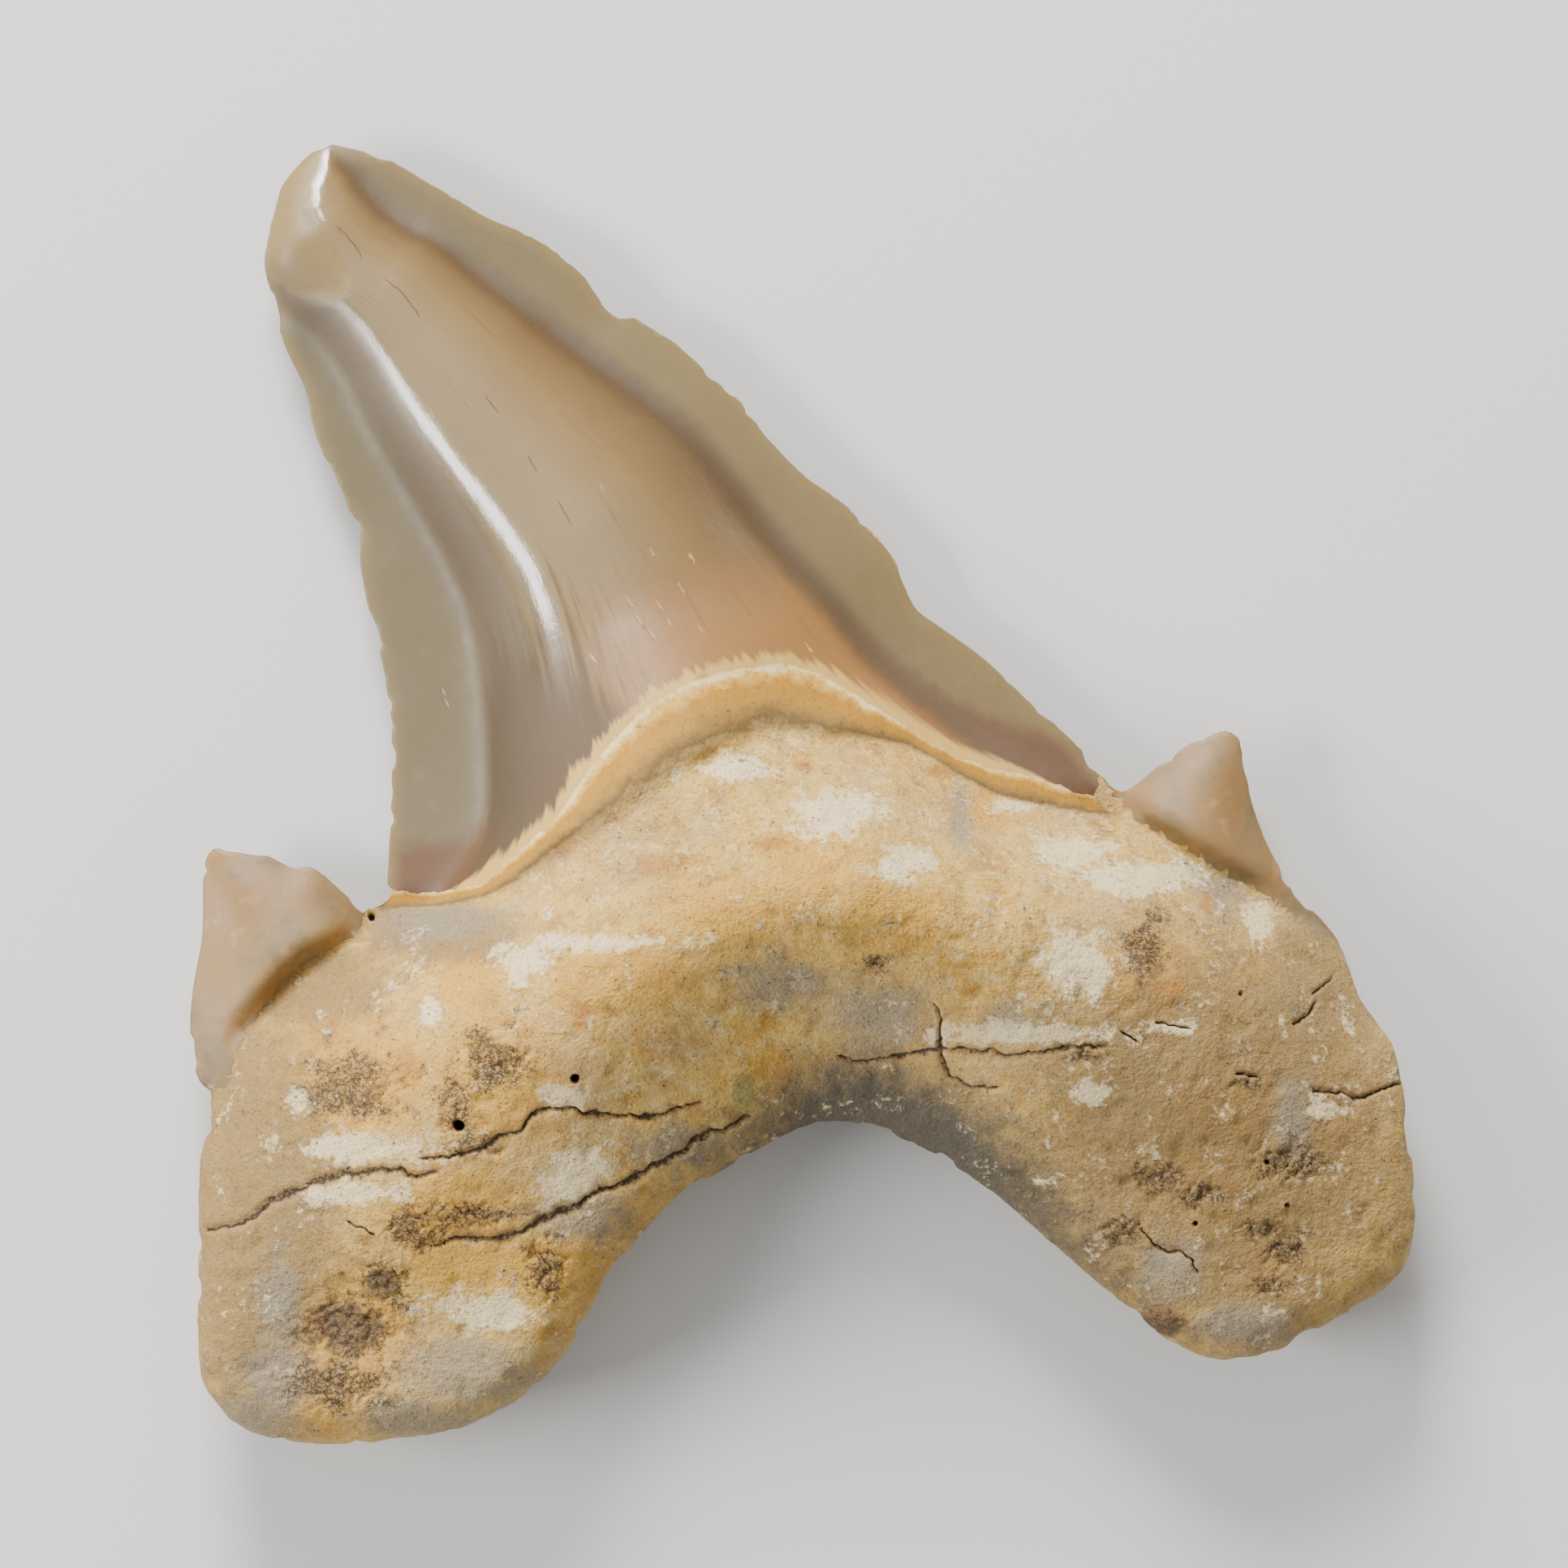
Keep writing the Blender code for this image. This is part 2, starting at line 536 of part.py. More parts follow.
def make_tooth():
    outline, edge = outline_and_heights(POINT_GAP)
    rim = len(outline)
    drawn = [ENAMEL_FOOT, NECK_LINE, LEFT_CUSP_BASE, RIGHT_CUSP_BASE]
    drawn += [FLANGE_LINE_LEFT, FLANGE_LINE_RIGHT, TIP_SCAR, ROOT_CREST]
    lines = [smooth_run(rows, POINT_GAP) for rows in drawn]
    top, top_faces = face_mesh(outline, lines, POINT_GAP)
    bottom, bottom_faces = face_mesh(outline, [], LIP_POINT_GAP)
    top_height = tongue_face(top, outline, edge)
    bottom_height = lip_face(bottom, outline, edge)
    top_height[:rim] = edge
    bottom_height[:rim] = edge

    tooth = bmesh.new()
    upper = [tooth.verts.new((x * MM, y * MM, z * MM)) for (x, y), z in zip(top, top_height)]
    lower = upper[:rim] + [
        tooth.verts.new((x * MM, y * MM, z * MM))
        for (x, y), z in zip(bottom[rim:], bottom_height[rim:])
    ]
    for face in top_faces:
        tooth.faces.new([upper[i] for i in face])
    for face in bottom_faces:
        tooth.faces.new([lower[i] for i in reversed(face)])
    mesh = bpy.data.meshes.new("tooth")
    tooth.to_mesh(mesh)
    tooth.free()
    mesh.shade_smooth()
    tooth = bpy.data.objects.new("tooth", mesh)
    bpy.context.collection.objects.link(tooth)
    return tooth


def fossil_material():
    material = bpy.data.materials.new("fossil tooth")
    material.use_nodes = True
    shader = material.node_tree.nodes["Principled BSDF"]
    shader.inputs["Base Color"].default_value = TOOTH_COLOUR
    shader.inputs["Roughness"].default_value = TOOTH_ROUGHNESS
    shader.inputs["Metallic"].default_value = 0.0
    return material


for old in list(bpy.data.objects):
    bpy.data.objects.remove(old)
make_tooth().data.materials.append(fossil_material())
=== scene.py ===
"""The finish of a fossil otodus tooth that lies on its lip side, tongue side up.

One closed mesh is modelled over the tooth's outline: a glossy domed crown with thin
flanges, two side cusps, a neck band, and a porous root with cracks, holes and stains.
"""

import math

import bpy
import numpy as np
from mathutils import Matrix, Vector, noise
from mathutils.geometry import delaunay_2d_cdt
from mathutils.kdtree import KDTree


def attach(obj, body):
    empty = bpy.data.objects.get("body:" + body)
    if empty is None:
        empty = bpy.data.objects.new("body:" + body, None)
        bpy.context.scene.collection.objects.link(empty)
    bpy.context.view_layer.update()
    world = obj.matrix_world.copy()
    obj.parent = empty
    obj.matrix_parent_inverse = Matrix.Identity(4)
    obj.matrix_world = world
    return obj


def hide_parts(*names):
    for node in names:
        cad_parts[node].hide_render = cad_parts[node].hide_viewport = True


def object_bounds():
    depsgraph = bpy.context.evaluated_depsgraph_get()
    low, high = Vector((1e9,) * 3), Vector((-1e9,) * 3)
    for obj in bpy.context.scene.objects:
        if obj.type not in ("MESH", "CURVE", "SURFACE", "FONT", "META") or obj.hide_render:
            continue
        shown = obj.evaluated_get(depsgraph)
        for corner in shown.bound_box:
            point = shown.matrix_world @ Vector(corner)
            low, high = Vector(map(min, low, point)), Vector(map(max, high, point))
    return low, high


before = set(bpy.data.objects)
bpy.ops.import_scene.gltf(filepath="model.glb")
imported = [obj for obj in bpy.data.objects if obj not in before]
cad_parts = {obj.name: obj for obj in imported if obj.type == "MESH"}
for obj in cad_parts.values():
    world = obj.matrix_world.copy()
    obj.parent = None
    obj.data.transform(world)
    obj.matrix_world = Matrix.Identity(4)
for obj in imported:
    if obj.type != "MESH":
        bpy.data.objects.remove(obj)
CAD_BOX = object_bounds()

# Sizes are in millimetres until the mesh is written in metres
MM = 0.001

# Heights of the outline's edge above the ground
CROWN_EDGE = 1.7
CUSP_EDGE = 2.3
ROOT_EDGE = 4.0
ARCH_EDGE = 4.4

# The outline, counter-clockwise from the tip, in stretches that meet at corners
CROWN_LEFT = [
    (-18.86, 25.73), (-19.44, 25.38), (-20.08, 24.74), (-20.62, 24.06), (-20.88, 23.20),
    (-21.14, 22.14), (-21.33, 20.96), (-21.10, 19.90), (-20.78, 19.14), (-20.69, 18.18),
    (-20.34, 17.28), (-19.70, 15.94), (-19.38, 14.46), (-18.96, 13.28), (-18.38, 11.84),
    (-17.58, 10.46), (-17.52, 9.12), (-17.33, 7.87), (-16.94, 6.27), (-16.59, 4.80),
    (-16.37, 3.07), (-16.27, 1.47), (-16.30, -0.74), (-16.40, -2.72), (-16.43, -3.68),
    (-16.24, -4.00), (-16.62, -4.45), (-17.36, -4.64),
]
LEFT_CUSP = [
    (-17.36, -4.64), (-18.16, -4.00), (-18.80, -3.39), (-19.41, -2.98), (-20.05, -3.04),
    (-20.56, -2.82), (-21.36, -2.43), (-22.22, -2.27), (-23.02, -2.21), (-23.47, -2.40),
    (-23.70, -3.07), (-23.73, -4.32), (-23.76, -5.86), (-23.98, -7.04), (-24.18, -8.32),
    (-24.21, -10.02), (-23.95, -11.17), (-23.50, -11.90),
]
LEFT_LOBE = [
    (-23.50, -11.90), (-23.31, -12.80), (-23.60, -13.86), (-23.76, -14.82), (-23.79, -18.08),
    (-23.79, -21.28), (-23.63, -23.14), (-22.90, -24.35), (-21.68, -25.25), (-20.14, -25.63),
    (-17.90, -25.73), (-15.70, -25.47), (-13.49, -25.12), (-12.08, -24.54), (-10.80, -23.71),
    (-9.65, -22.59), (-8.75, -21.22), (-8.08, -19.94),
]
ARCH = [
    (-8.08, -19.94), (-7.28, -18.75), (-6.64, -17.86), (-5.68, -16.80), (-4.40, -15.74),
    (-2.80, -14.78), (-1.68, -14.11), (-0.56, -13.50), (0.85, -13.02), (2.19, -13.09),
    (3.73, -13.60), (5.62, -14.50), (7.60, -15.87), (9.49, -17.47), (11.47, -19.20),
    (13.20, -20.67), (14.38, -21.60),
]
RIGHT_LOBE = [
    (14.38, -21.60), (15.54, -22.18), (16.82, -22.43), (18.10, -22.34), (19.70, -21.54),
    (21.42, -20.64), (22.58, -19.94), (23.66, -18.94), (24.11, -17.66), (24.21, -16.16),
    (24.02, -14.02), (23.70, -11.58), (23.34, -10.08), (22.70, -9.12), (22.10, -8.22),
    (21.68, -7.04),
]
RIGHT_CUSP = [
    (21.68, -7.04), (21.20, -5.82), (20.24, -4.70), (19.28, -3.52), (18.48, -2.11),
    (17.90, -0.58), (17.62, 0.86), (17.36, 2.05), (16.85, 2.40), (16.08, 2.21),
    (15.02, 1.66), (13.94, 0.86), (13.20, 0.26), (12.56, 0.22), (11.86, 0.64),
]
CROWN_RIGHT = [
    (11.86, 0.64), (10.86, 1.92), (9.36, 3.26), (7.44, 5.12), (5.52, 6.53),
    (4.56, 7.26), (4.02, 8.32), (3.50, 9.50), (1.68, 11.42), (0.08, 12.58),
    (-1.42, 14.14), (-2.26, 15.30), (-3.54, 16.48), (-5.04, 17.82), (-6.64, 18.82),
    (-7.44, 19.07), (-8.56, 20.38), (-9.84, 21.50), (-11.12, 22.24), (-12.40, 22.75),
    (-13.68, 23.52), (-14.96, 24.26), (-16.24, 25.02), (-17.52, 25.44), (-18.86, 25.73),
]
# The cusps' tips are this row of their stretches
CUSP_TIP = 8

# Lines across the tongue side, from left to right
ENAMEL_FOOT = [
    (-16.30, -3.94), (-14.64, -4.00), (-12.72, -3.68), (-11.12, -2.40), (-9.52, -0.96),
    (-8.24, 0.96), (-6.96, 2.40), (-6.00, 3.30), (-4.56, 4.16), (-3.44, 4.58),
    (-1.84, 4.90), (-0.56, 5.02), (0.72, 4.58), (2.00, 3.94), (3.28, 3.10),
    (4.56, 2.24), (6.00, 1.44), (7.76, 0.84), (9.04, 0.64), (10.20, 0.20), (11.60, -0.20),
]
NECK_LINE = [
    (-16.90, -4.75), (-14.32, -4.60), (-12.40, -4.16), (-11.12, -3.52), (-9.52, -2.24),
    (-7.76, -0.96), (-6.32, 0.00), (-4.72, 1.12), (-3.12, 1.92), (-1.20, 2.56),
    (0.72, 2.24), (2.96, 2.02), (4.24, 1.76), (5.68, 0.96), (6.64, 0.32),
    (8.08, -0.32), (9.68, -0.64), (11.28, -0.90), (12.40, -1.10),
]
LEFT_CUSP_BASE = [
    (-17.30, -4.90), (-17.60, -5.54), (-18.42, -6.11), (-19.41, -6.59), (-20.43, -7.42),
    (-21.20, -8.45), (-22.00, -9.38), (-22.35, -10.53), (-22.61, -11.50), (-23.20, -12.00),
]
RIGHT_CUSP_BASE = [
    (12.50, -0.30), (13.20, -1.06), (14.48, -1.82), (16.40, -2.98), (18.32, -4.06),
    (20.24, -5.42), (21.10, -6.30),
]
# Where the thin flanges meet the dome, from the tip to the enamel's foot
# and on below the side cusps
FLANGE_LINE_LEFT = [
    (-20.30, 26.40), (-22.20, 23.40), (-22.30, 20.60), (-20.70, 19.20), (-19.28, 18.20),
    (-18.16, 16.67), (-17.26, 14.88), (-16.18, 12.96), (-15.02, 11.04), (-13.94, 9.12),
    (-13.20, 7.46), (-12.72, 5.60), (-12.50, 3.70), (-12.30, 1.28), (-12.30, -0.96),
    (-12.80, -2.56), (-13.90, -3.90), (-16.00, -6.10), (-19.00, -8.20), (-24.00, -10.50),
]
FLANGE_LINE_RIGHT = [
    (-18.10, 25.60), (-17.30, 24.30), (-16.10, 23.10), (-14.30, 22.10), (-13.00, 21.00),
    (-10.90, 19.40), (-9.20, 18.00), (-6.64, 16.10), (-4.40, 14.24), (-2.80, 12.30),
    (-0.98, 9.98), (1.04, 7.78), (3.06, 5.34), (6.10, 2.91), (9.14, 0.86), (11.57, -0.54),
    (14.00, -2.40), (17.50, -4.70), (22.00, -8.00),
]
FLANGE_SLOPE = 0.12
FLANGE_WIDTH = 4.0
FLANGE_CORNER_LEFT = 0.35
FLANGE_CORNER_RIGHT = 0.4
DOME_RISE = 0.118
DOME_POWER = 1.45
DOME_RIDGE = 0.40
DOME_WIDEST = 17.0
DOME_FOOT_LEFT = 0.8
DOME_FOOT_RIGHT = 1.1
CUSP_RISE = 0.19
CUSP_WIDEST = 9.0

# The worn facet and the shallow flake scar on the left of the tip
TIP_SCAR = [
    (-18.80, 25.95), (-20.70, 24.80), (-21.60, 22.00), (-21.30, 20.30), (-20.60, 19.75),
    (-20.00, 19.40), (-19.20, 19.20), (-18.30, 19.32), (-17.60, 19.80), (-18.00, 21.20),
    (-19.10, 22.70), (-19.30, 23.60), (-18.90, 24.60),
]
SCAR_DEPTH = 0.12
SCAR_RAMP = 0.35

# The root's crest, from the left lobe over the bulge under the neck to the right lobe
ROOT_CREST = [
    (-18.8, -22.0, 6.9), (-17.3, -18.0, 8.0), (-14.2, -13.2, 9.4), (-8.8, -9.4, 11.0),
    (-3.0, -6.2, 12.2), (2.5, -4.8, 12.6), (7.5, -5.8, 11.8), (12.0, -8.6, 10.2),
    (16.5, -12.4, 8.8), (19.0, -16.5, 7.6), (19.4, -19.5, 6.8),
]
CREST_HALF_WIDTH = 7.5
CREST_DROP = 3.6
ARCH_SLOPE_DEPTH = 10.0
ARCH_SLOPE_SHARE = 0.45
ARCH_SLOPE_HALF_WIDTH = 9.0
ARCH_MIDDLE = 1.0
NECK_SHOULDER = 2.6
SHOULDER_POWER = 1.2
NECK_GROOVE = 0.24
ENAMEL_STEP = 0.08
BASE_GROOVE = 0.22
GROOVE_WIDTH = 0.6
STEP_BLEND = 0.8
REGION_BLEND = 1.4

# How soon each face leaves its edge height, and how round that turn is
CROWN_TURN = (0.35, 0.8)
ROOT_TURN = (4.2, 0.58)
ARCH_TURN = (6.5, 0.85)
LIP_CROWN_TURN = (2.6, 0.9)
LIP_ROOT_TURN = (2.4, 0.55)

LIP_HOLLOW = 1.3
LIP_HOLLOW_AT = (0.8, -8.0)
LIP_HOLLOW_SIZE = (9.0, 6.5)
LIP_ROOT_TOP = 2.0
LIP_ROOT_BLEND = 8.0
LIP_CROWN_LIFT = 0.45
LIP_ROOT_LIFT = 0.20
LIP_NECK_LIFT = 0.5
LIP_NECK_AT = -3.0
LIP_NECK_WIDTH = 1.6
RESTS = [(-16.0, -18.6, 3.4), (18.0, -15.6, 3.2), (-17.3, 19.4, 2.6)]
REST_SINK = 1.25
LUMP_SIZE = 4.5
LUMP_HEIGHT = 0.22
TONGUE_SEED = 3.0
LIP_SEED = 9.0

# Cracks in the root, each a run of points and its half width
CRACKS = [
    ([(-23.4, -17.2), (-22.0, -16.9), (-20.6, -16.0), (-18.8, -15.2), (-17.5, -14.9),
      (-15.9, -14.7), (-15.1, -15.0), (-14.3, -14.8)], 0.15),
    ([(-14.8, -14.3), (-13.7, -14.2), (-12.4, -13.9), (-11.7, -13.4), (-11.0, -13.3),
      (-10.5, -12.6), (-9.8, -12.4), (-8.9, -12.4), (-7.9, -12.6), (-6.0, -12.7),
      (-5.0, -12.5), (-4.0, -12.2)], 0.10),
    ([(-14.3, -17.8), (-13.5, -17.5), (-12.4, -17.5), (-11.1, -17.3), (-10.2, -16.8),
      (-9.2, -16.4), (-7.8, -15.6), (-7.1, -15.4), (-6.0, -14.8), (-4.6, -14.1),
      (-4.1, -13.6), (-3.4, -13.4), (-2.6, -13.1), (-2.2, -12.8)], 0.15),
    ([(1.5, -10.4), (2.3, -10.6), (3.9, -10.4), (5.4, -10.1), (6.5, -10.2), (7.3, -10.1),
      (7.9, -10.3), (9.0, -10.2), (10.3, -10.0), (11.8, -9.9)], 0.10),
    ([(5.1, -8.3), (5.3, -8.6), (5.4, -9.3), (5.4, -10.1), (5.7, -11.0), (6.2, -11.4),
      (6.8, -11.6), (7.6, -11.6)], 0.09),
    ([(12.5, -9.4), (13.0, -9.7)], 0.07),
    ([(13.8, -9.0), (15.1, -9.2)], 0.06),
    ([(20.9, -7.4), (20.2, -7.9)], 0.08),
    ([(20.2, -8.3), (19.9, -8.8), (19.3, -9.1)], 0.09),
    ([(20.2, -11.7), (21.2, -11.8), (22.0, -12.0), (22.8, -11.7), (23.6, -11.5)], 0.10),
    ([(13.2, -17.0), (13.5, -17.4), (14.0, -17.9), (15.1, -18.2), (15.4, -18.7)], 0.07),
    ([(-17.7, -16.8), (-16.7, -17.3)], 0.06),
    ([(17.0, -11.0), (17.8, -11.1)], 0.09),
]
CRACK_DEPTH = 0.22

# Fine splits in the enamel, which follow its grain
HAIRLINES = [
    [(-18.3, 22.3), (-17.9, 21.9), (-17.4, 21.2)], [(-16.3, 20.1), (-15.7, 19.6), (-15.1, 18.8)],
    [(-12.4, 15.5), (-12.0, 15.0)], [(-9.5, 11.3), (-9.1, 10.6)], [(-10.7, 13.1), (-10.4, 12.6)],
]
HAIRLINE_WIDTH = 0.035
HAIRLINE_DEPTH = 0.03

# Small nicks in the enamel, painted pale as glints: middle, and half length along the grain
FLECK_GLINTS = [
    (-7.86, 11.97, 0.07), (-5.90, 9.44, 0.10), (-4.24, 9.12, 0.07), (-4.72, 8.00, 0.20),
    (-6.80, 7.52, 0.18), (-5.62, 7.36, 0.16), (-6.42, 6.82, 0.20), (-5.20, 6.62, 0.09),
    (-8.14, 5.22, 0.10), (0.24, 5.76, 0.07), (-14.06, 3.52, 0.07), (-3.98, 6.40, 0.12),
    (-5.90, 6.20, 0.15), (-14.20, 3.95, 0.06),
]
FLECK_WIDTH = 0.04
GRAIN_RUN = (0.527, -0.850)

# Nutrient holes and small pits: centre, radius and depth
HOLES = [
    (-8.78, -11.20, 0.20, 0.9), (-13.36, -13.02, 0.24, 1.1), (17.2, -7.9, 0.12, 0.3),
    (18.2, -14.5, 0.12, 0.3), (19.0, -16.2, 0.12, 0.3), (15.4, -16.9, 0.12, 0.3),
    (-17.05, -4.95, 0.18, 0.3),
]

# Spots of the root: centre, half width, half height
ROUGH_SPOTS = [
    (-11.9, -10.4, 1.3, 1.2), (-13.4, -12.0, 0.8, 1.0), (-17.7, -11.5, 1.9, 1.3), (-15.1, -17.1, 1.1, 1.0),
    (-16.2, -19.0, 0.9, 0.8), (-17.7, -21.1, 1.9, 1.4), (-10.0, -18.7, 0.8, 1.1), (-13.4, -16.5, 1.7, 0.5),
    (-18.2, -23.2, 1.8, 0.9), (-12.7, -13.9, 1.0, 0.4), (13.4, -6.3, 0.75, 0.9), (13.9, -4.8, 0.4, 0.4),
    (2.9, -6.7, 0.4, 0.4), (13.7, -15.1, 1.0, 0.65), (15.4, -15.8, 0.9, 0.5), (19.0, -14.5, 1.2, 0.7),
    (17.4, -11.4, 0.7, 0.3), (18.9, -18.0, 0.8, 0.6), (18.3, -19.3, 0.7, 0.4), (17.9, -17.1, 0.8, 0.45),
    (10.8, -10.1, 0.9, 0.3), (14.3, -20.9, 0.9, 0.4), (12.6, -17.2, 0.9, 0.5),
]
STAINS = {
    "tan": [
        (16.5, -14.0, 7.0, 7.5), (-21.5, -17.0, 3.2, 8.0), (20.5, -8.0, 2.5, 3.0),
        (-19.5, -7.6, 3.0, 1.6), (-22.3, -11.0, 1.4, 3.0), (-14.5, -5.6, 3.2, 1.0),
    ],
    "grime": [(-17.7, -21.0, 1.2, 0.9), (14.2, -21.0, 0.8, 0.35), (-16.4, -19.3, 0.5, 0.5)],
    "bleached": [
        (1.2, -0.8, 1.6, 0.7), (-2.4, 0.9, 1.4, 0.35), (4.2, -2.8, 0.8, 0.6), (10.8, -6.8, 1.2, 1.0),
        (8.6, -0.4, 0.8, 0.3), (13.0, -3.4, 2.0, 0.6), (18.1, -5.2, 0.6, 0.55), (8.2, -9.4, 3.0, 0.35),
        (14.6, -9.2, 0.8, 0.2), (11.3, -11.8, 0.7, 0.4), (20.5, -12.5, 0.7, 0.25),
        (-10.8, -6.7, 0.8, 0.65), (-17.0, -13.9, 2.0, 0.45), (-17.4, -15.7, 1.9, 0.4),
        (-9.2, -11.8, 0.9, 0.35), (-8.8, -14.9, 1.2, 1.1), (-14.5, -8.5, 0.3, 0.7),
        (-12.2, -20.3, 1.5, 0.6), (-19.8, -12.0, 0.35, 0.4), (-7.8, -5.8, 2.2, 0.3),
        (-10.8, -1.9, 1.1, 0.5), (10.5, -2.4, 1.2, 0.6),
    ],
    "lilac": [
        (3.1, -8.8, 1.9, 1.3), (-0.8, -7.4, 2.0, 0.9), (8.0, -8.9, 1.0, 0.6), (16.5, -3.9, 1.0, 0.7),
        (19.2, -12.9, 0.7, 1.4), (6.2, -1.1, 0.4, 1.3), (-20.6, -23.0, 1.2, 1.6),
        (-20.4, -20.0, 0.8, 1.8), (-12.6, -22.6, 2.9, 1.6), (-8.6, -16.6, 1.9, 0.9), (-4.6, -13.9, 2.0, 0.8),
        (-15.0, -24.6, 2.4, 0.8), (14.4, -18.6, 1.1, 1.1), (17.2, -20.9, 2.0, 0.8), (-14.3, -5.1, 2.4, 0.8),
        (-21.6, -24.6, 1.6, 0.8),
    ],
    "ochre": [
        (-17.7, -11.0, 2.9, 2.2), (-11.8, -11.4, 2.3, 2.5), (-13.4, -16.3, 2.7, 1.6),
        (-17.7, -21.1, 2.3, 2.2), (-10.2, -18.6, 2.1, 1.4), (-13.4, -18.6, 1.9, 0.9),
        (-7.0, -7.2, 2.9, 1.2), (-18.5, -24.6, 1.6, 0.8), (-13.0, -7.2, 1.3, 1.9),
        (13.3, -7.2, 1.9, 1.7), (7.5, -0.6, 1.0, 0.7), (0.3, -2.6, 1.9, 1.5),
        (17.6, -7.0, 0.7, 0.6), (16.8, -12.5, 1.9, 1.5), (15.5, -15.5, 2.2, 1.7), (18.3, -18.9, 1.9, 1.2),
        (20.9, -10.7, 0.7, 1.1), (21.0, -13.6, 1.0, 1.8), (-3.0, -4.6, 2.6, 1.4), (3.5, -4.6, 2.0, 1.6),
        (14.1, -20.6, 1.0, 0.6), (-1.2, -10.9, 0.9, 0.8),
    ],
    "rust": [
        (-5.7, -2.9, 0.7, 0.5), (-8.6, -8.6, 0.4, 0.6), (-18.3, -9.1, 0.16, 0.7), (-18.8, -20.6, 0.8, 0.4),
        (-12.1, -3.6, 0.45, 0.32), (5.6, 0.8, 0.8, 0.25), (15.9, -4.4, 0.3, 0.45), (14.4, -7.6, 0.65, 0.3),
        (7.3, -10.1, 0.25, 0.15), (0.0, 1.0, 0.4, 0.2), (14.0, -20.9, 0.7, 0.35), (-1.6, 4.2, 0.9, 0.4),
        (-1.2, -2.0, 0.8, 0.3), (-15.4, -10.6, 0.5, 0.9),
    ],
    "olive": [(-2.6, -3.0, 0.16, 0.14), (-0.2, -2.2, 0.16, 0.14), (-2.3, -11.8, 0.5, 0.9)],
}

# The grey along the arch, partly weathering and partly painted shade where it faces down: its
# middle, its half width, how far it is full from the edge, and how far it then takes to fade
ARCH_SHADE_MIDDLE = 4.0
ARCH_SHADE_HALF_WIDTH = 9.0
ARCH_SHADE_FULL = 0.6
ARCH_SHADE_FADE = 4.4

# Where the enamel ends on the lip side
LIP_FOOT = [
    (-17.4, -4.7), (-14.0, -5.6), (-9.0, -5.3), (-4.0, -4.0), (1.0, -2.9), (6.0, -2.2),
    (10.0, -1.2), (12.4, 0.1),
]

# Small chips along the outline, and a fine unevenness all along it
NICK_DEPTH = 0.16
NICK_LENGTH = 0.9
NICK_FROM = 0.1
NICK_RAMP = 0.4
NICK_SEED = 1.5
UNEVEN_DEPTH = 0.02
UNEVEN_LENGTH = 0.35
UNEVEN_SEED = 8.5

# How far runs of points stray to their sides, and over what length
CRACK_STRAY = (0.16, 0.45)
HAIRLINE_STRAY = (0.05, 0.3)
FOOT_STRAY = (0.16, 0.7)
CRACK_SEED = 20.0
HAIRLINE_SEED = 60.0
FOOT_SEED = 3.0

# How a crack widens and narrows along its run, and tapers to its ends
SWELL_SIZE = 0.7
SWELL_SEED = 40.0
TAPER_LENGTH = 2.0
LEAST_WIDTH = 0.02
BEYOND_CRACK = 1.0

# Shares of a hole's radius: where its floor ends, and how wide its wall is
HOLE_FLOOR = 0.55
HOLE_WALL = 0.5
# How soon a spot or a stain fades out from its middle
SPOT_FADE = 0.7

# Relief of the bone and the enamel: height, size and seed of each kind of lump
BONE_LUMPS = ((0.07, 2.4, 1.0), (0.04, 1.0, 2.0), (0.030, 0.45, 3.0), (0.025, 0.24, 4.0))
ENAMEL_LUMPS = ((0.03, 3.0, 11.0), (0.006, 0.6, 12.0))
# Crusts sunk into a net of lines, pits, and the fibres along the arch
CRUST_DEPTH = 0.16
CRUST_SIZE = 0.55
CRUST_LINE = 0.16
CRUST_SEED = 6.0
PIT_DEPTH = 0.08
PIT_SIZE = 0.8
PIT_FROM = 0.30
PIT_RAMP = 0.15
PIT_SEED = 7.0
FIBRE_DEPTH = 0.05
FIBRE_SIZE = 0.3
FIBRE_STRETCH = (3.0, 0.8, 1.0)
FIBRE_SEED = 8.0
FIBRE_ELSEWHERE = 0.3
BAND_SMOOTHNESS = 0.7
RELIEF_LIMIT = 0.15
RIM_RELIEF = 0.5
REST_SKIN = 0.02

# Where the enamel is polished: how far inside the flange lines and off its foot that
# starts, and how far it takes
POLISH_INSIDE = 1.0
POLISH_RAMP = 0.9
POLISH_OFF_FOOT = 2.0
POLISH_FOOT_RAMP = 3.5
# Bands of painted shade along the flange lines, over the enamel's own darker tone there: their middle inside
# the line, and their half width
LEFT_SLOPE_SHADE = (0.6, 1.3)
RIGHT_GROOVE_SHADE = (0.15, 0.7)
DOME_FADE = 0.8
BAND_FADE = 0.5

# How closely the mesh's points stand: along the outline, on the enamel, the root,
# its rough spots and the lip side
RIM_GAP = 0.25
ENAMEL_GAP = 0.34
ROOT_GAP = 0.20
ROUGH_GAP = 0.10
LIP_GAP = 0.36
# Rows of points inside the outline, and a coarser outline that distances are taken from
EDGE_ROWS = (0.04, 0.10, 0.19, 0.32, 0.50)
COARSE_GAP = 0.6
CRACK_GAP = 0.12
HAIRLINE_GAP = 0.06
FLECK_GAP = 0.08
FOOT_GAP = 0.16
# Lines of points along a crack, in half widths from its middle, and rings round a hole,
# each with its share of the hole's radius and how many points it has
CRACK_LINES = (0, -1, 1, -2.2, 2.2)
HOLE_RINGS = ((0.0, 1), (0.5, 6), (0.9, 12), (1.1, 14), (1.5, 14))
FOOT_LIP = 0.10
# The room that each kind of point keeps, as a share of its gap or in millimetres
ROW_KEPT = 0.85
ROW_ROOM = 0.6
GRID_ROOM = 0.55
GRID_SHIFT = 0.15
GRID_EDGE_ROOM = 0.3
LIP_GRID_SEED = 7
CRACK_ROOM = 0.45
RING_ROOM = 0.02
FOOT_ROOM = 0.05
LEAST_INSIDE = 0.03
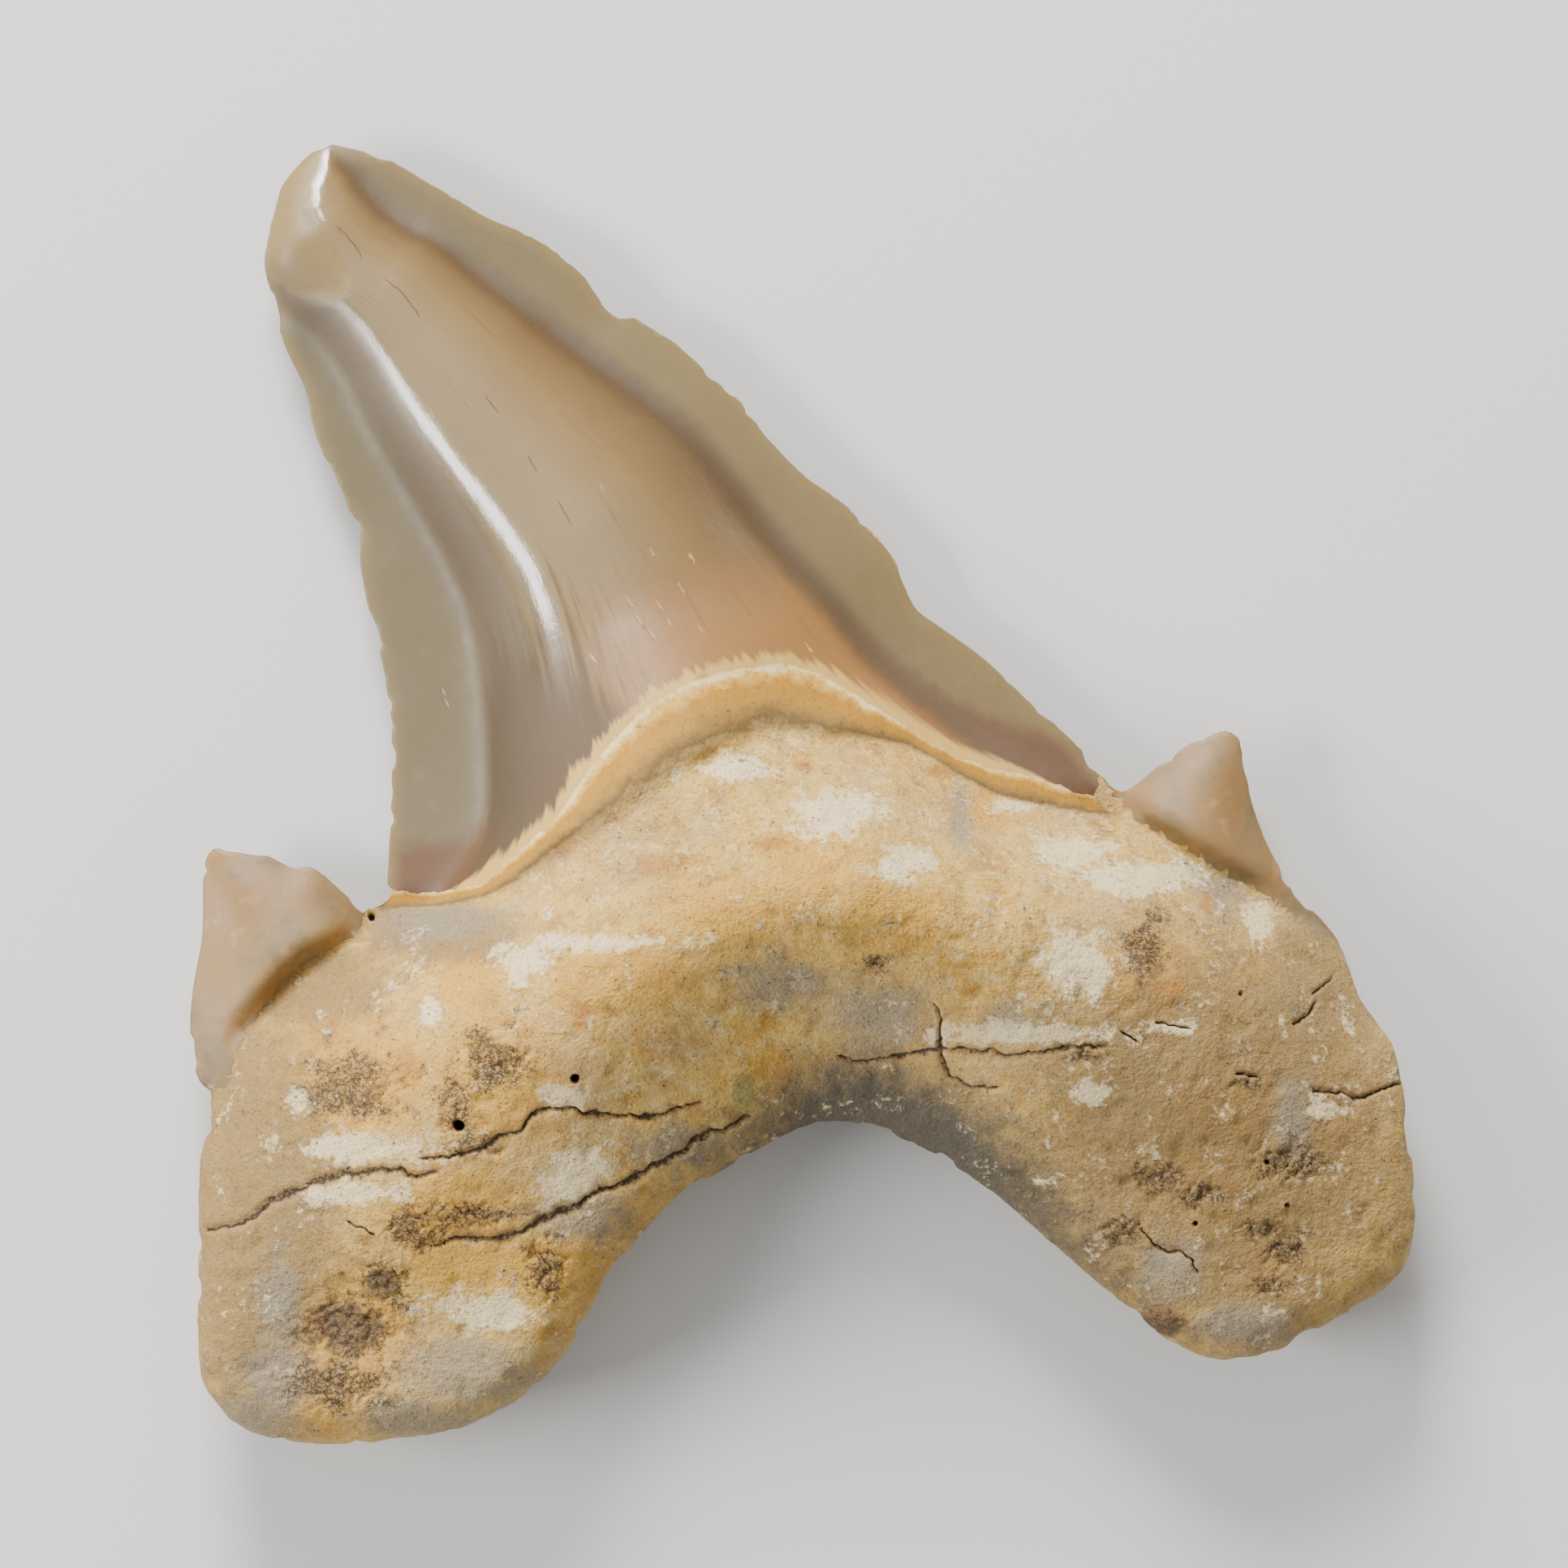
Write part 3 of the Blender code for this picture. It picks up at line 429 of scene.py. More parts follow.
# How far beside its middle an edge is turned, as a share of its length
BESIDE = 0.03
ROUGH_FROM = 0.3
CHUNK = 1500
MESH_ROUNDS = 8

# Lines are measured in steps of this length. Between two drawn points they have this many
# finer ones, and the edge's height blends along the outline by this much
LINE_GAP = 0.8
STEPS_BETWEEN = 12
EDGE_BLEND = 12.0
TINY = 1e-6


def as_points(rows):
    return np.array([row[:2] for row in rows], dtype=float)


def smooth_run(rows, gap):
    """Points at about the given gap along a smooth curve through the rows."""
    knots = as_points(rows)
    before = np.vstack([2 * knots[0] - knots[1], knots[:-1]])
    after = np.vstack([knots[1:], 2 * knots[-1] - knots[-2]])
    fine = []
    for i in range(len(knots) - 1):
        slope_in = (after[i] - before[i]) / 2
        slope_out = (after[i + 1] - before[i + 1]) / 2
        for t in np.linspace(0, 1, STEPS_BETWEEN, endpoint=False):
            fine.append(
                (2 * t**3 - 3 * t**2 + 1) * knots[i]
                + (t**3 - 2 * t**2 + t) * slope_in
                + (3 * t**2 - 2 * t**3) * knots[i + 1]
                + (t**3 - t**2) * slope_out
            )
    fine = np.array(fine + [knots[-1]])
    along = np.concatenate([[0], np.cumsum(np.linalg.norm(np.diff(fine, axis=0), axis=1))])
    marks = np.linspace(0, along[-1], max(2, round(along[-1] / gap) + 1))
    return np.column_stack([np.interp(marks, along, fine[:, k]) for k in (0, 1)])


def outline_and_heights(gap):
    """The closed outline and the height of its edge at each of its points."""
    stretches = [
        (CROWN_LEFT, CROWN_EDGE),
        (LEFT_CUSP, CUSP_EDGE),
        (LEFT_LOBE, ROOT_EDGE),
        (ARCH, ARCH_EDGE),
        (RIGHT_LOBE, ROOT_EDGE),
        (RIGHT_CUSP, CUSP_EDGE),
        (CROWN_RIGHT, CROWN_EDGE),
    ]
    points, heights = [], []
    for rows, height in stretches:
        run = smooth_run(rows, gap)[:-1]
        points.append(run)
        heights.append(np.full(len(run), height))
    points, heights = np.vstack(points), np.concatenate(heights)
    for _ in range(round(EDGE_BLEND / gap**2)):
        heights = (np.roll(heights, 1) + 2 * heights + np.roll(heights, -1)) / 4
    return points, heights


def in_chunks(measure):
    """Lets a measure of points against a line run on a few points at a time."""
    def whole(points, *rest):
        parts = [measure(points[i:i + CHUNK], *rest) for i in range(0, len(points), CHUNK)]
        if isinstance(parts[0], tuple):
            return tuple(np.concatenate(column) for column in zip(*parts))
        return np.concatenate(parts)
    return whole


@in_chunks
def reach(points, line, heights=None):
    """Smooth distance from a line, and the height of the stretches that are nearest.

    Each piece of the line counts with the inverse cube of its distance, so beside a
    long straight edge the result is the plain distance.
    """
    start, end = line[:-1], line[1:]
    length = np.linalg.norm(end - start, axis=1)
    unit = (end - start) / length[:, None]
    to_start = points[:, None, :] - start[None]
    near = -np.einsum("ijk,jk->ij", to_start, unit)
    far = near + length
    gap = np.maximum(np.einsum("ijk,ijk->ij", to_start, to_start) - near**2, TINY)
    pull = (far / np.sqrt(far**2 + gap) - near / np.sqrt(near**2 + gap)) / gap
    total = pull.sum(axis=1)
    distance = np.sqrt(2 / total)
    if heights is None:
        return distance
    middle = (heights[:-1] + heights[1:]) / 2
    return distance, (pull * middle).sum(axis=1) / total


@in_chunks
def beside(points, line):
    """Plain distance from an open line, and on which side: 1 left of its run, -1 right."""
    start, step = line[:-1], np.diff(line, axis=0)
    to_start = points[:, None, :] - start[None]
    share = np.einsum("ijk,jk->ij", to_start, step) / (step**2).sum(axis=1)
    gap = to_start - np.clip(share, 0, 1)[:, :, None] * step
    distance = (gap**2).sum(axis=2)
    nearest = distance.argmin(axis=1)
    at = np.arange(len(points))
    turn = step[nearest, 0] * to_start[at, nearest, 1] - step[nearest, 1] * to_start[at, nearest, 0]
    return np.sqrt(distance[at, nearest]), np.where(turn >= 0, 1.0, -1.0)


def line_distance(points, rows):
    return beside(points, as_points(rows))[0]


@in_chunks
def inside(points, loop):
    """True for the points inside a closed loop."""
    x, y = points[:, 0, None], points[:, 1, None]
    x0, y0 = loop[:, 0], loop[:, 1]
    x1, y1 = np.roll(x0, -1), np.roll(y0, -1)
    rise = np.where(y1 == y0, 1e-12, y1 - y0)
    crosses = ((y0 > y) != (y1 > y)) & (x < (x1 - x0) * (y - y0) / rise + x0)
    return crosses.sum(axis=1) % 2 == 1


def depth_in(points, loop):
    """Distance from a closed loop, positive inside it."""
    distance = beside(points, np.vstack([loop, loop[:1]]))[0]
    return np.where(inside(points, loop), distance, -distance)


def ease(value):
    value = np.clip(value, 0, 1)
    return value * value * (3 - 2 * value)


def lumps(points, size, seed):
    return np.array([noise.noise(Vector((x / size, y / size, seed))) for x, y in points])


def spots(points, places):
    """A mask that is 1 in the middle of each spot and fades out of it."""
    mask = np.zeros(len(points))
    for x, y, half_width, half_height in places:
        away = ((points[:, 0] - x) / half_width) ** 2 + ((points[:, 1] - y) / half_height) ** 2
        mask = np.maximum(mask, np.exp(-away * SPOT_FADE))
    return mask


def soft_corner(value, corner):
    return 0.5 * (value + np.sqrt(value**2 + corner**2))


def within_flanges(points):
    """How far inside the left and the right flange line each point stands."""
    left, right = (smooth_run(rows, LINE_GAP) for rows in (FLANGE_LINE_LEFT, FLANGE_LINE_RIGHT))
    (from_left, left_side), (from_right, right_side) = beside(points, left), beside(points, right)
    return left_side * from_left, -right_side * from_right


def across_dome(points):
    """The dome's width at each point, and how far across it the point is, from 0 to 1."""
    in_left, in_right = within_flanges(points)
    from_left = soft_corner(in_left, FLANGE_CORNER_LEFT)
    from_right = soft_corner(in_right, FLANGE_CORNER_RIGHT)
    width = from_left + from_right
    return np.minimum(width, DOME_WIDEST), from_left / width


def crown_height(points):
    """The crown's full height above its cutting edges."""
    width, across = across_dome(points)
    on_left = across < DOME_RIDGE
    share = np.where(on_left, across / DOME_RIDGE, (1 - across) / (1 - DOME_RIDGE))
    foot = np.where(on_left, DOME_FOOT_LEFT, DOME_FOOT_RIGHT)
    dome = DOME_RISE * width**DOME_POWER * (1 - (1 - share**foot) ** 2)
    edges = [smooth_run(rows, LINE_GAP) for rows in (CROWN_LEFT, CROWN_RIGHT)]
    from_edge = np.minimum(*(reach(points, line) for line in edges))
    flange = FLANGE_SLOPE * FLANGE_WIDTH * (1 - np.exp(-from_edge / FLANGE_WIDTH))
    return flange + dome - SCAR_DEPTH * in_scar(points)


def in_scar(points):
    return ease(depth_in(points, smooth_run(TIP_SCAR, LINE_GAP)) / SCAR_RAMP)


def cusp_height(points, rows):
    """A side cusp's height above its own edges."""
    sides = rows[CUSP_TIP:], rows[:CUSP_TIP + 1]
    from_left, from_right = (reach(points, as_points(side)) for side in sides)
    width = from_left + from_right
    share = 2 * np.minimum(from_left, from_right) / width
    return CUSP_RISE * np.minimum(width, CUSP_WIDEST) * (1 - (1 - share) ** 2)


def crest_height(points):
    """Height of the root's full form, highest along its crest."""
    crest = np.array(ROOT_CREST)
    line = smooth_run(ROOT_CREST, LINE_GAP)
    away, height = reach(points, line, np.interp(line[:, 0], crest[:, 0], crest[:, 2]))
    return height - CREST_DROP * (1 - np.exp(-((away / CREST_HALF_WIDTH) ** 2)))


def regions():
    """The closed loops of the root, the two side cusps and the neck band."""
    left_cusp = np.vstack([as_points(LEFT_CUSP), as_points(LEFT_CUSP_BASE)[::-1]])
    right_cusp = np.vstack([as_points(RIGHT_CUSP), as_points(RIGHT_CUSP_BASE)])
    root = np.vstack(
        [as_points(rows)[:-1] for rows in (LEFT_LOBE, ARCH)]
        + [as_points(RIGHT_LOBE)]
        + [as_points(RIGHT_CUSP_BASE)[::-1], as_points(NECK_LINE)[::-1], as_points(LEFT_CUSP_BASE)]
    )
    band = np.vstack([as_points(ENAMEL_FOOT), as_points(NECK_LINE)[::-1]])
    return {"root": root, "left": left_cusp, "right": right_cusp, "band": band}


def region_shares(points):
    """How much of each point belongs to the root, the two side cusps and the crown."""
    loops = regions()
    share = {
        name: ease(0.5 + depth_in(points, loops[name]) / REGION_BLEND)
        for name in ("root", "left", "right")
    }
    share["crown"] = np.clip(1 - sum(share.values()), 0, 1)
    total = sum(share.values())
    return {name: value / total for name, value in share.items()}


def by_the_arch(points):
    """1 beside the middle of the arch, 0 far from it."""
    to_arch = line_distance(points, smooth_run(ARCH, LINE_GAP))
    middle = np.exp(-(((points[:, 0] - ARCH_MIDDLE) / ARCH_SLOPE_HALF_WIDTH) ** 2))
    return middle * (1 - ease(to_arch / ARCH_SLOPE_DEPTH))


def groove_along(points, rows, width):
    return np.exp(-((line_distance(points, rows) / width) ** 2))


def tongue_face(points, outline, edge):
    """Height of the upper face at each point."""
    closed, closed_edge = np.vstack([outline, outline[:1]]), np.append(edge, edge[0])
    from_edge, edge_height = reach(points, closed, closed_edge)
    loops = regions()
    crown = crown_height(points)
    in_root = np.maximum(depth_in(points, loops["root"]), 0)
    shoulder = 1 - np.exp(-((in_root / NECK_SHOULDER) ** SHOULDER_POWER))
    by_arch = by_the_arch(points)
    above_edge = (crest_height(points) - edge_height) * (1 - ARCH_SLOPE_SHARE * by_arch)
    bulge = crown * (1 - shoulder) + above_edge * shoulder

    share = region_shares(points)
    form = (
        bulge * share["root"]
        + cusp_height(points, LEFT_CUSP) * share["left"]
        + cusp_height(points, RIGHT_CUSP) * share["right"]
        + crown * share["crown"]
    )
    on_band = ease(0.5 + depth_in(points, loops["band"]) / STEP_BLEND)
    form = form - ENAMEL_STEP * on_band * share["crown"]
    form = form - NECK_GROOVE * groove_along(points, NECK_LINE, GROOVE_WIDTH)
    for base in (LEFT_CUSP_BASE, RIGHT_CUSP_BASE):
        form = form - BASE_GROOVE * groove_along(points, base, GROOVE_WIDTH)
    form = form + LUMP_HEIGHT * lumps(points, LUMP_SIZE, TONGUE_SEED) * share["root"]

    root_turn, root_power = (a + (b - a) * by_arch for a, b in zip(ROOT_TURN, ARCH_TURN))
    turn = CROWN_TURN[0] + (root_turn - CROWN_TURN[0]) * share["root"]
    power = CROWN_TURN[1] + (root_power - CROWN_TURN[1]) * share["root"]
    return edge_height + form * (1 - np.exp(-from_edge / turn)) ** power


def lip_face(points, outline, edge):
    """Height of the lower face at each point, flat at zero where it touches the ground."""
    closed, closed_edge = np.vstack([outline, outline[:1]]), np.append(edge, edge[0])
    from_edge, edge_height = reach(points, closed, closed_edge)
    is_root = ease((LIP_ROOT_TOP - points[:, 1]) / LIP_ROOT_BLEND)
    hollow = np.exp(-(((points - np.array(LIP_HOLLOW_AT)) / np.array(LIP_HOLLOW_SIZE)) ** 2).sum(axis=1))
    under_neck = np.exp(-(((points[:, 1] - LIP_NECK_AT) / LIP_NECK_WIDTH) ** 2)) * is_root
    low = LIP_CROWN_LIFT + (LIP_ROOT_LIFT - LIP_CROWN_LIFT) * is_root
    low = low + LIP_HOLLOW * hollow + LIP_NECK_LIFT * under_neck
    low = low + LUMP_HEIGHT * lumps(points, LUMP_SIZE, LIP_SEED)
    for x, y, radius in RESTS:
        away = ((points - np.array([x, y])) ** 2).sum(axis=1)
        low = low - REST_SINK * np.exp(-away / radius**2)
    turn = LIP_CROWN_TURN[0] + (LIP_ROOT_TURN[0] - LIP_CROWN_TURN[0]) * is_root
    power = LIP_CROWN_TURN[1] + (LIP_ROOT_TURN[1] - LIP_CROWN_TURN[1]) * is_root
    rounding = (1 - np.exp(-from_edge / turn)) ** power
    return np.maximum(edge_height - (edge_height - low) * rounding, 0)


def across_run(run):
    """The direction square to a run at each of its points, to its left."""
    step = np.gradient(run, axis=0)
    return np.column_stack([-step[:, 1], step[:, 0]]) / np.linalg.norm(step, axis=1)[:, None]


def wavy(run, stray, length, seed):
    """A run of points pushed a little to either side of itself."""
    along = np.concatenate([[0], np.cumsum(np.linalg.norm(np.diff(run, axis=0), axis=1))])
    push = np.array([
        noise.noise(Vector((s / length, seed, 0.0))) + 0.5 * noise.noise(Vector((s / length * 3, seed, 5.0)))
        for s in along
    ])
    ends = ease(np.minimum(along, along[-1] - along) / length)
    return run + across_run(run) * (stray * push * ends)[:, None]


def inward_of(outline):
    """The direction into the tooth at each of the outline's points."""
    tangent = np.roll(outline, -1, axis=0) - np.roll(outline, 1, axis=0)
    tangent /= np.linalg.norm(tangent, axis=1)[:, None]
    return np.column_stack([-tangent[:, 1], tangent[:, 0]])


def nicked(outline):
    """The outline with small chips: only inwards, so the tooth's size stays."""
    along = np.arange(len(outline)) * RIM_GAP
    chip = np.array([noise.noise(Vector((s / NICK_LENGTH, NICK_SEED, 0.0))) for s in along])
    fine = np.array([noise.noise(Vector((s / UNEVEN_LENGTH, UNEVEN_SEED, 0.0))) for s in along])
    depth = NICK_DEPTH * ease((chip - NICK_FROM) / NICK_RAMP) + UNEVEN_DEPTH * (1 + fine)
    return outline + inward_of(outline) * depth[:, None]


def inner_rows(outline):
    """Points in rows along the inside of the outline, with the room each row keeps."""
    rows = []
    for depth in EDGE_ROWS:
        row = outline + inward_of(outline) * depth
        rows.append((row[depth_in(row, outline) > ROW_KEPT * depth], ROW_ROOM * depth))
    return rows


def lattice(outline, gap, seed):
    """Points in staggered rows within the outline, each a little out of place."""
    after = np.roll(outline, -1, axis=0)
    points = []
    for row, y in enumerate(np.arange(outline[:, 1].min(), outline[:, 1].max(), gap * math.sqrt(0.75))):
        crossing = (outline[:, 1] > y) != (after[:, 1] > y)
        a, b = outline[crossing], after[crossing]
        ends = np.sort(a[:, 0] + (y - a[:, 1]) * (b[:, 0] - a[:, 0]) / (b[:, 1] - a[:, 1]))
        for start, end in zip(ends[::2], ends[1::2]):
            first = math.ceil(start / gap) + (row % 2) / 2
            xs = np.arange(first * gap, end, gap)
            points.append(np.column_stack([xs, np.full(len(xs), y)]))
    points = np.vstack(points)
    points += np.random.default_rng(seed).uniform(-GRID_SHIFT, GRID_SHIFT, points.shape) * gap
    return clear_of_edge(points, outline, EDGE_ROWS[-1] + GRID_EDGE_ROOM * gap)


def tree_of(points):
    """The points sorted so that the one nearest to a place is found quickly."""
    tree = KDTree(len(points))
    for i, (x, y) in enumerate(points):
        tree.insert((x, y, 0), i)
    tree.balance()
    return tree


def clear_of_edge(points, outline, space):
    """The points that stand farther than a space inside the outline."""
    tree = tree_of(outline)
    near = np.array([tree.find((x, y, 0))[2] < space + RIM_GAP for x, y in points])
    kept = ~near
    kept[near] = depth_in(points[near], outline) > space
    return points[kept]


def marked_runs():
    """Every crack, hairline and fleck as a run of points with its half width."""
    marks = {"crack": [], "hairline": [], "glint_fleck": []}
    for k, (rows, half_width) in enumerate(CRACKS):
        run = wavy(smooth_run(rows, CRACK_GAP), *CRACK_STRAY, CRACK_SEED + k)
        marks["crack"].append((run, half_width))
    for k, rows in enumerate(HAIRLINES):
        run = wavy(smooth_run(rows, HAIRLINE_GAP), *HAIRLINE_STRAY, HAIRLINE_SEED + k)
        marks["hairline"].append((run, HAIRLINE_WIDTH))
    for x, y, half_length in FLECK_GLINTS:
        half_run = half_length * np.array(GRAIN_RUN)
        run = smooth_run([(x, y) - half_run, (x, y) + half_run], FLECK_GAP)
        marks["glint_fleck"].append((run, FLECK_WIDTH))
    return marks


def rows_beside(runs):
    """Points along each run's floor and both its lips, with the room they keep."""
    return [
        (run + across_run(run) * half_width * share, CRACK_ROOM * half_width)
        for run, half_width in runs
        for share in CRACK_LINES
    ]


def run_mask(points, runs, spread=1.1):
    """1 on the runs' floor and 0 beyond their lips, wider and narrower along the way."""
    mask = np.zeros(len(points))
    for run, half_width in runs:
        low, high = run.min(axis=0) - BEYOND_CRACK, run.max(axis=0) + BEYOND_CRACK
        near = np.where(((points > low) & (points < high)).all(axis=1))[0]
        if len(near) == 0:
            continue
        at = points[near]
        to_end = np.minimum(*(np.linalg.norm(at - end, axis=1) for end in (run[0], run[-1])))
        swell = 0.75 + 1.1 * lumps(at, SWELL_SIZE, SWELL_SEED)
        taper = 0.25 + 0.75 * ease(to_end / TAPER_LENGTH)
        width = np.maximum(spread * half_width * swell * taper, LEAST_WIDTH)
        mask[near] = np.maximum(mask[near], np.exp(-((beside(at, run)[0] / width) ** 2)))
    return mask


def hole_rows():
    """Rings of points round each hole's rim and wall, with the room they keep."""
    rows = []
    for x, y, radius, _ in HOLES:
        for share, count in HOLE_RINGS:
            turn = np.arange(count) / count * math.tau
            ring = np.column_stack([x + radius * share * np.cos(turn), y + radius * share * np.sin(turn)])
            rows.append((ring, RING_ROOM))
    return rows


def add_spaced(points, row, space):
    """The points and those of the row that keep their distance."""
    tree = tree_of(points)
    kept = [p for p in row if tree.find((p[0], p[1], 0))[2] > space]
    return np.vstack([points, kept]) if kept else points


def tongue_points(outline):
    """All the points of the upper face, the outline first, and the enamel's loops."""
    points = outline
    foot = wavy(smooth_run(ENAMEL_FOOT, FOOT_GAP), *FOOT_STRAY, FOOT_SEED)
    rows = inner_rows(outline) + hole_rows() + [(foot, FOOT_ROOM)]
    for runs in marked_runs().values():
        rows += rows_beside(runs)
    rows += [(foot + [0, FOOT_LIP], FOOT_ROOM), (foot - [0, FOOT_LIP], FOOT_ROOM)]
    for row, space in rows:
        row = row[depth_in(row, outline) > LEAST_INSIDE]
        points = add_spaced(points, row, space)
    enamel = enamel_loops(foot)
    for gap, wanted in ((ROUGH_GAP, "rough"), (ROOT_GAP, "root"), (ENAMEL_GAP, "enamel")):
        grid = lattice(outline, gap, round(gap * 100))
        covered = in_enamel(grid, enamel)
        rough = spots(grid, ROUGH_SPOTS) > ROUGH_FROM
        keep = {"rough": rough & ~covered, "root": ~rough & ~covered, "enamel": covered}[wanted]
        points = add_spaced(points, grid[keep], GRID_ROOM * gap)
    return points, enamel


def enamel_loops(foot):
    """The closed loops of the crown's and the side cusps' enamel on the tongue side."""
    crown = np.vstack([as_points(CROWN_LEFT[:-3]), foot, as_points(CROWN_RIGHT)])
    region = regions()
    return [crown, region["left"], region["right"]]


def in_enamel(points, loops):
    return np.logical_or.reduce([inside(points, loop) for loop in loops])


def lip_points(outline):
    """All the points of the lower face, the outline first."""
    points = outline
    for row, space in inner_rows(outline):
        points = add_spaced(points, row, space)
    return add_spaced(points, lattice(outline, LIP_GAP, LIP_GRID_SEED), GRID_ROOM * LIP_GAP)


def chords(faces, rim):
    """Edges that join two points of the outline across the inside."""
    found = set()
    for face in faces:
        for a, b in zip(face, face[1:] + face[:1]):
            if max(a, b) < rim and abs(a - b) not in (1, rim - 1):
                found.add((min(a, b), max(a, b)))
    return sorted(found)


def beside_middle(a, b):
    """A point just off the middle of an edge, so that the edge is turned."""
    step = b - a
    return (a + b) / 2 + BESIDE * np.array([-step[1], step[0]])


def triangles(points, rim):
    """Delaunay triangles inside the outline, which is the first points."""
    for _ in range(MESH_ROUNDS):
        edges = [(i, (i + 1) % rim) for i in range(rim)]
        places, _, faces, *_ = delaunay_2d_cdt([Vector(p) for p in points], edges, [], 0, TINY, False)
        points = np.array([tuple(p) for p in places])
        middles = points[np.array(faces)].mean(axis=1)
        faces = [face for face, held in zip(faces, inside(middles, points[:rim])) if held]
        extra = [beside_middle(points[a], points[b]) for a, b in chords(faces, rim)]
        if not extra:
            break
        points = np.vstack([points, extra])
    return points, faces


def grain(places, size, seed, stretch=(1, 1, 1)):
    """Noise over points in space, in features of the given size."""
    scaled = places / size / np.array(stretch)
    return np.array([noise.noise(Vector((x, y, z + seed))) for x, y, z in scaled])


def hole_depth(points):
    """How deep the holes are at each point: flat floors with short sloping walls."""
    depth = np.zeros(len(points))
    for x, y, radius, deep in HOLES:
        away = np.hypot(points[:, 0] - x, points[:, 1] - y) / radius
        depth = np.maximum(depth, deep * (1 - ease((away - HOLE_FLOOR) / HOLE_WALL)))
    return depth


def in_arch_shade(points):
    """1 along the arch's edge, where the bone is painted grey: partly weathering, partly painted shade on
    the slopes that face down, mostly on the right.
    """
    to_arch = line_distance(points, smooth_run(ARCH, LINE_GAP))
    sideways = np.exp(-(((points[:, 0] - ARCH_SHADE_MIDDLE) / ARCH_SHADE_HALF_WIDTH) ** 2))
    return sideways * (1 - ease((to_arch - ARCH_SHADE_FULL) / ARCH_SHADE_FADE))


def on_bone(upper, lower, enamel):
    """True for the points of the upper and then the lower face that aren't enamel."""
    lip_foot = np.interp(lower[:, 0], *as_points(LIP_FOOT).T)
    return np.concatenate([~in_enamel(upper, enamel), lower[:, 1] <= lip_foot])


def along_line(inside_line, middle, half_width):
    """1 on a band along a flange line and 0 away from it."""
    return np.exp(-(((inside_line - middle) / half_width) ** 2))


def finish_masks(top, bottom, outline):
    """The masks that the finish is mixed by, for the upper and then the lower face.

    A mask's second value is the one that the lower face has, or else that is 0.
    """
    def both(upper, under=0.0):
        return np.concatenate([upper, np.broadcast_to(under, len(bottom))])

    in_left, in_right = within_flanges(top)
    share = region_shares(top)
    marks = marked_runs()
    to_foot = line_distance(top, ENAMEL_FOOT)
    to_neck = line_distance(top, NECK_LINE)
    # The enamel is polished on the dome's back, dull in its grooves and by its foot
    polish = ease((in_left - POLISH_INSIDE) / POLISH_RAMP) * ease(in_right / POLISH_RAMP)
    polish = polish * ease((to_foot - POLISH_OFF_FOOT) / POLISH_FOOT_RAMP) * (1 - in_scar(top))
    masks = {
        "across": both(across_dome(top)[1], 0.5),
        "along_foot": both(to_foot, 9.0),
        "on_dome": both(ease(0.5 + np.minimum(in_left, in_right) / DOME_FADE)),
        # Bands of painted shade over the enamel's own darker tone: on the left slope, where the dome turns
        # from the light, and in the right groove
        "left_slope_shade": both(along_line(in_left, *LEFT_SLOPE_SHADE)),
        "right_groove_shade": both(along_line(in_right, *RIGHT_GROOVE_SHADE)),
        "polish": both(polish, 0.3),
        "from_edge": both(reach(top, np.vstack([outline, outline[:1]])), 3.0),
        "cusp": both(share["left"] + share["right"]),
        "band": both(ease(0.5 + depth_in(top, regions()["band"]) / BAND_FADE)),
        "neck": both(to_foot / (to_foot + to_neck + TINY), 0.5),
        "scar": both(in_scar(top)),
        "fringe": both(run_mask(top, marks["crack"], 3.0)),
        "rough": both(spots(top, ROUGH_SPOTS)),
        "hole": both(np.minimum(hole_depth(top), 1)),
        # Grey along the arch: partly weathering, partly painted shade on the slopes that face down
        "arch": both(in_arch_shade(top), in_arch_shade(bottom)),
    }
    for name, runs in marks.items():
        masks[name] = both(run_mask(top, runs))
    for name, patches in STAINS.items():
        masks[name] = both(spots(top, patches), spots(bottom, patches))
    return masks


def relief_at(places, masks, bone, upper_count, rim):
    """How far each point moves along its normal: lumps, pits, crusts, cracks and holes."""
    crust_net = 1 - ease(np.abs(grain(places, CRUST_SIZE, CRUST_SEED)) / CRUST_LINE)
    bone_relief = (
        sum(height * grain(places, size, seed) for height, size, seed in BONE_LUMPS)
        - CRUST_DEPTH * masks["rough"] * crust_net
        - PIT_DEPTH * ease((grain(places, PIT_SIZE, PIT_SEED) - PIT_FROM) / PIT_RAMP)
        + FIBRE_DEPTH * (FIBRE_ELSEWHERE + masks["arch"])
        * grain(places, FIBRE_SIZE, FIBRE_SEED, FIBRE_STRETCH)
    ) * (1 - BAND_SMOOTHNESS * masks["band"])
    enamel_relief = sum(height * grain(places, size, seed) for height, size, seed in ENAMEL_LUMPS)
    relief = bone_relief * bone + enamel_relief * (1 - bone)
    sunk = CRACK_DEPTH * masks["crack"] + HAIRLINE_DEPTH * (masks["hairline"] + masks["glint_fleck"])
    sunk[:upper_count] += hole_depth(places[:upper_count, :2])
    relief -= sunk
    resting = places[:, 2] < REST_SKIN
    resting[:upper_count] = False
    relief[resting] = 0
    relief = np.minimum(relief, RELIEF_LIMIT)
    relief[:rim] *= np.where(bone[:rim] > 0.5, RIM_RELIEF, 0.0)
    return relief


